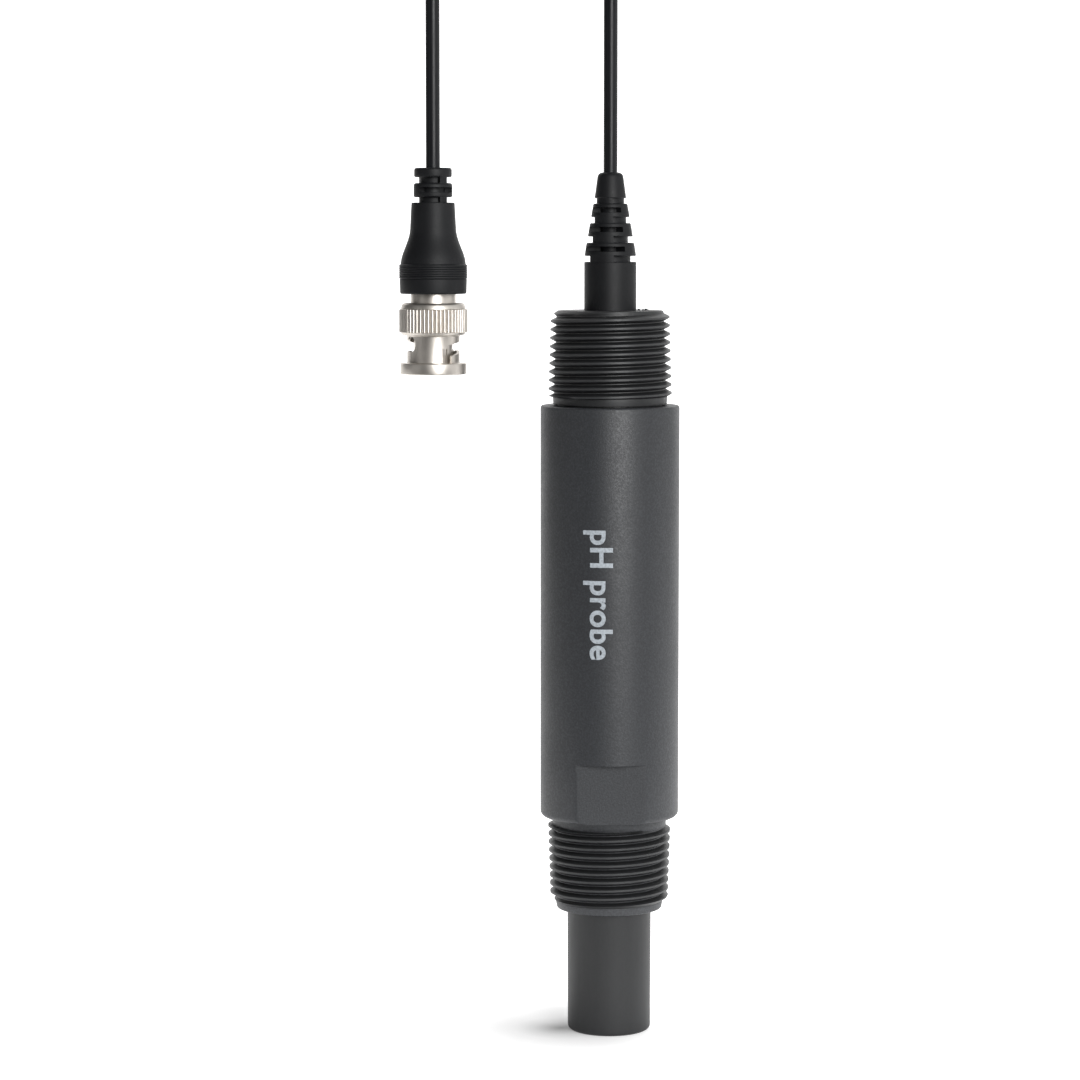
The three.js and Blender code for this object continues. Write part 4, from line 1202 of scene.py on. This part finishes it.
class MakePlugCore(bpy.types.Operator):
    """Plug body, slotted contact, insulator, pin, gasket and the rings behind the nut"""

    bl_idname = "probe.make_plug_core"
    bl_label = "Make plug core"

    # bores of the rings round the body
    BORES = {"plug_gasket": 4.2 * MM, "retaining_ring": 4.65 * MM, "thrust_washer": 4.9 * MM,
             "wave_washer": 4.9 * MM}

    def execute(self, context):
        self.piece("plug_shell", "nickel", "nickel_plate", "plug_body", self.shell())
        self.contact()
        self.piece("plug_insulator", "white_plastic", "porous_white", "insulator", self.insulator())
        self.piece("plug_pin", "gold", "gold_plate", "centre_pin", self.pin())
        self.ring("mouth_gasket", "seal_black", "seal_rubber", "plug_gasket", 0.2 * MM)
        self.ring("split_ring", "nickel", "nickel_plate", "retaining_ring", 0.12 * MM)
        self.ring("flat_washer", "nickel", "nickel_plate", "thrust_washer", 0.08 * MM, WASHER_BODY)
        self.wave()
        return {"FINISHED"}

    @staticmethod
    def span(node):
        """Outer radius, bottom and top of a CAD node of the plug, heights above the nut's mouth."""
        return (high(node).x - low(node).x) / 2, low(node).z - PLUG.z, high(node).z - PLUG.z

    @staticmethod
    def piece(name, look, slot, node, corners, body=BODY):
        """A turned piece of the plug from its outline."""
        bm = bmesh.new()
        turned(bm, rounded(corners, 3), steps=72)
        weld(bm)
        made = make_object(name, bm, [look], PLUG)
        settle(made, body, slot, node)
        return made

    def ring(self, name, look, slot, node, edge, body=BODY):
        """A flat ring: outside from the node's box, inside from its own bore."""
        base, top = self.span(node)[1:]
        outer = (high(node).y - low(node).y) / 2
        self.piece(name, look, slot, node, tube(self.BORES[node], outer, base, top, edge), body)

    def shell(self):
        """The body's neck shows between nut and boot, its face inside the mouth."""
        neck, face, top = self.span("plug_body")
        mouth, cavity, stem, stem_bore = 4.2 * MM, 3.55 * MM, 2.2 * MM, 1.6 * MM
        groove_low, groove_high, groove = 9.8 * MM, 10.8 * MM, neck - 0.25 * MM
        floor = face + 3.6 * MM
        step = top - 6.5 * MM
        return [
            (mouth, face, 0), (neck, face, 0.15 * MM),
            (neck, groove_low, 0), (groove, groove_low, 0), (groove, groove_high, 0), (neck, groove_high, 0),
            (neck, step, 0.2 * MM), (stem, step, 0), (stem, top, 0), (stem_bore, top, 0),
            (stem_bore, step - 0.4 * MM, 0), (cavity, step - 0.4 * MM, 0), (cavity, floor, 0),
            (mouth, floor, 0)]

    def contact(self):
        """Outer contact: a sleeve with four spring slots and a turned-in lip."""
        base, top = self.span("outer_contact")[1:]
        waist, lip, bore, belly = 3.95 * MM, 3.85 * MM, 3.55 * MM, 4.05 * MM
        made = self.piece("slotted_contact", "nickel", "nickel_plate", "outer_contact", [
            (3.5 * MM, base, 0.08 * MM), (lip, base, 0.15 * MM), (belly, base + 0.9 * MM, 0.2 * MM),
            (waist, base + 2.2 * MM, 0.3 * MM), (belly, base + 5.2 * MM, 0.2 * MM), (belly, top, 0),
            (bore, top, 0)])
        cutters = []
        for turn in (math.pi / 4, math.pi * 3 / 4):
            bm = bmesh.new()
            block(bm, (10 * MM, 0.4 * MM, 5 * MM), (0, 0, base + 2 * MM), turn)
            cutters.append(make_object("contact_slot", bm, [], PLUG))
        carve(made, cutters)

    def insulator(self):
        """Tubular nose, then a solid web with a bore for the pin."""
        outer, base, top = self.span("insulator")
        nose_bore, pin_bore, web = 2.45 * MM, 0.78 * MM, 7.0 * MM
        return [(nose_bore, base, 0.15 * MM), (outer, base, 0.15 * MM), (outer, top, 0), (pin_bore, top, 0),
                (pin_bore, web, 0), (nose_bore, web, 0)]

    def pin(self):
        """Round-nosed contact pin."""
        base, top = self.span("centre_pin")[1:]
        radius = 0.675 * MM
        return [(0, base, 0), (0.3 * MM, base, 0.1 * MM), (radius, base + 0.7 * MM, 0.3 * MM),
                (radius, top, 0), (0, top, 0)]

    def wave(self):
        """Wave washer: a thin ring bent into three waves."""
        inner, thickness, waves = self.BORES["wave_washer"], 0.22 * MM, 3
        outer, base, top = self.span("wave_washer")
        lift = (top - base - thickness) / 2
        bm = bmesh.new()
        turned(bm, [(inner, 0), (outer, 0), (outer, thickness), (inner, thickness)], steps=96)
        weld(bm)
        for vert in bm.verts:
            vert.co.z += base + lift * (1 + math.sin(waves * math.atan2(vert.co.y, vert.co.x)))
        made = make_object("spring_washer", bm, ["nickel"], PLUG)
        settle(made, BODY, "nickel_plate", "wave_washer")
        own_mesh(made)


class MakeSensor(bpy.types.Operator):
    """Glass bulb and stem, and the porous ring in the tip"""

    bl_idname = "probe.make_sensor"
    bl_label = "Make sensor"

    def execute(self, context):
        bulb_low = low("sensing_bulb").z
        radius = high("sensing_bulb").x + 0.01 * MM
        centre = bulb_low + radius
        inner = radius - 0.35 * MM
        outside = self.arc(radius, centre, 0.72)
        inside = self.arc(inner, centre, 0.66)
        outline = outside + inside[::-1]
        bm = bmesh.new()
        turned(bm, outline, steps=72, closed=False)
        weld(bm)
        bulb = make_object("glass_bulb", bm, ["glass"])
        settle(bulb, BODY, "clear_glass", "sensing_bulb")
        self.ring("porous_ring", "white_plastic", "porous_white", "junction_ring", 3.7 * MM)
        self.ring("stem_tube", "glass", "clear_glass", "glass_stem", 2.8 * MM)
        return {"FINISHED"}

    @staticmethod
    def arc(radius, centre, last):
        """Points of a ball's outline from its lowest point up to an angle from its top."""
        points = [(0.0, centre - radius)]
        for step in range(1, 25):
            angle = math.pi - (math.pi - last) * step / 24
            points.append((radius * math.sin(angle), centre + radius * math.cos(angle)))
        return points

    @staticmethod
    def ring(name, look, slot, node, inner):
        """A turned ring whose outside comes from its CAD node."""
        outer = high(node).x
        base, top = low(node).z, high(node).z
        bm = bmesh.new()
        turned(bm, rounded(tube(inner, outer, base, top, 0.15 * MM), 3), steps=72)
        weld(bm)
        made = make_object(name, bm, [look])
        settle(made, BODY, slot, node)


class MakePrint(bpy.types.Operator):
    """Printed mark that runs along the barrel"""

    bl_idname = "probe.make_print"
    bl_label = "Make print"

    words: StringProperty(name="Words", description="What the print says", default="pH probe")
    height: length("Middle", "Middle of the print above the tip's rim", 97.0 * MM)
    baseline: FloatProperty(name="Baseline", description="Foot of the letters, right of the front line",
                            default=-4.4 * MM, unit="LENGTH")

    LETTER_SIZE = 6.8 * MM
    LETTER_WEIGHT = 0.15 * MM
    # the letters are cut into narrow strips before they are wrapped, so that they follow the barrel
    STRIP = 0.4 * MM
    INK = 0.02 * MM

    def execute(self, context):
        data = bpy.data.curves.new("range_mark", "FONT")
        data.body = self.words
        data.size = self.LETTER_SIZE
        data.offset = self.LETTER_WEIGHT
        data.space_character = 1.05
        data.align_x = "CENTER"
        text = bpy.data.objects.new("range_mark", data)
        context.scene.collection.objects.link(text)
        context.view_layer.update()
        graph = context.evaluated_depsgraph_get()
        mesh = bpy.data.meshes.new_from_object(text.evaluated_get(graph))
        bpy.data.objects.remove(text)
        bm = bmesh.new()
        bm.from_mesh(mesh)
        for step in range(-8, 24):
            geometry = bm.verts[:] + bm.edges[:] + bm.faces[:]
            bmesh.ops.bisect_plane(bm, geom=geometry, plane_co=(0, step * self.STRIP, 0), plane_no=(0, 1, 0))
        height = TIP_Z + self.height
        radius = BARREL_RADIUS + self.INK
        for vert in bm.verts:
            turn = -math.pi / 2 + (self.baseline + vert.co.y) / radius
            vert.co = Vector((radius * math.cos(turn), radius * math.sin(turn), height - vert.co.x))
        for face in bm.faces:
            centre = face.calc_center_median()
            if face.normal.dot(Vector((centre.x, centre.y, 0))) < 0:
                face.normal_flip()
        made = make_object("range_mark", bm, ["pale_print"])
        settle(made, BODY, "housing_plastic")
        return {"FINISHED"}


class DressInnerParts(bpy.types.Operator):
    """Gives the CAD nodes that stay inside the probe their finishes"""

    bl_idname = "probe.dress_inner_parts"
    bl_label = "Dress inner parts"

    LOOKS = {
        "cap_o_ring": "seal_black",
        "tip_o_ring": "seal_black",
        "stem_spacer": "white_plastic",
        "stem_seal": "seal_black",
        "measuring_wire": "silver",
        "reference_wire": "silver",
        "signal_lead": "jacket_black",
        "reference_lead": "jacket_black",
        "inner_cable": "jacket_black",
        "potting_plug": "resin",
        "crimp_ferrule": "nickel",
    }

    def execute(self, context):
        for node, look in self.LOOKS.items():
            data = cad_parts[node].data
            data.materials.clear()
            data.materials.append(finish(look))
        return {"FINISHED"}


class DeclareLead(bpy.types.Operator):
    """Lists the pieces that ride on the lead, and does nothing with them"""

    bl_idname = "probe.declare_lead"
    bl_label = "Declare lead"

    ON_LEAD = ("lead_tie", "plug_boot_moulding", "plug_shell", "slotted_contact", "plug_insulator",
               "plug_pin", "mouth_gasket", "split_ring", "flat_washer", "spring_washer", "bayonet_nut")

    def execute(self, context):
        return {"FINISHED"}


class ProbePanel(bpy.types.Panel):
    """Lists the pieces that can be made, and their sizes and colours"""

    bl_idname = "VIEW3D_PT_probe"
    bl_label = "Inline pH probe"
    bl_space_type = "VIEW_3D"
    bl_region_type = "UI"
    bl_category = "Probe"

    def draw(self, context):
        layout = self.layout
        for operator in OPERATORS:
            layout.operator(operator.bl_idname)
        for group in GROUPS:
            settings = getattr(context.scene, group)
            for name in settings.bl_rna.properties.keys():
                if name not in ("rna_type", "name"):
                    layout.prop(settings, name)


GROUPS = {
    "thread_sizes": ThreadSizes,
    "probe_sizes": ProbeSizes,
    "lead_sizes": LeadSizes,
    "stage_sizes": StageSizes,
    "probe_colours": ProbeColours,
}
OPERATORS = (
    MakeStage,
    MakeLead,
    MakeTie,
    MakeHousing,
    MakeRearCap,
    MakeStrainRelief,
    MakePlugBoot,
    MakeCouplingNut,
    MakePlugCore,
    MakeSensor,
    MakePrint,
    DressInnerParts,
    DeclareLead,
)


def register():
    """Adds the settings, operators and panel to Blender."""
    for group in GROUPS.values():
        bpy.utils.register_class(group)
    for name, group in GROUPS.items():
        setattr(bpy.types.Scene, name, PointerProperty(type=group))
    for operator in OPERATORS:
        bpy.utils.register_class(operator)
    bpy.utils.register_class(ProbePanel)


def unregister():
    """Takes them out again."""
    bpy.utils.unregister_class(ProbePanel)
    for operator in reversed(OPERATORS):
        bpy.utils.unregister_class(operator)
    for name, group in GROUPS.items():
        delattr(bpy.types.Scene, name)
        bpy.utils.unregister_class(group)


def main():
    """Makes every piece in order."""
    register()
    for operator in OPERATORS:
        group, name = operator.bl_idname.split(".")
        getattr(getattr(bpy.ops, group), name)()


if __name__ == "__main__":
    main()
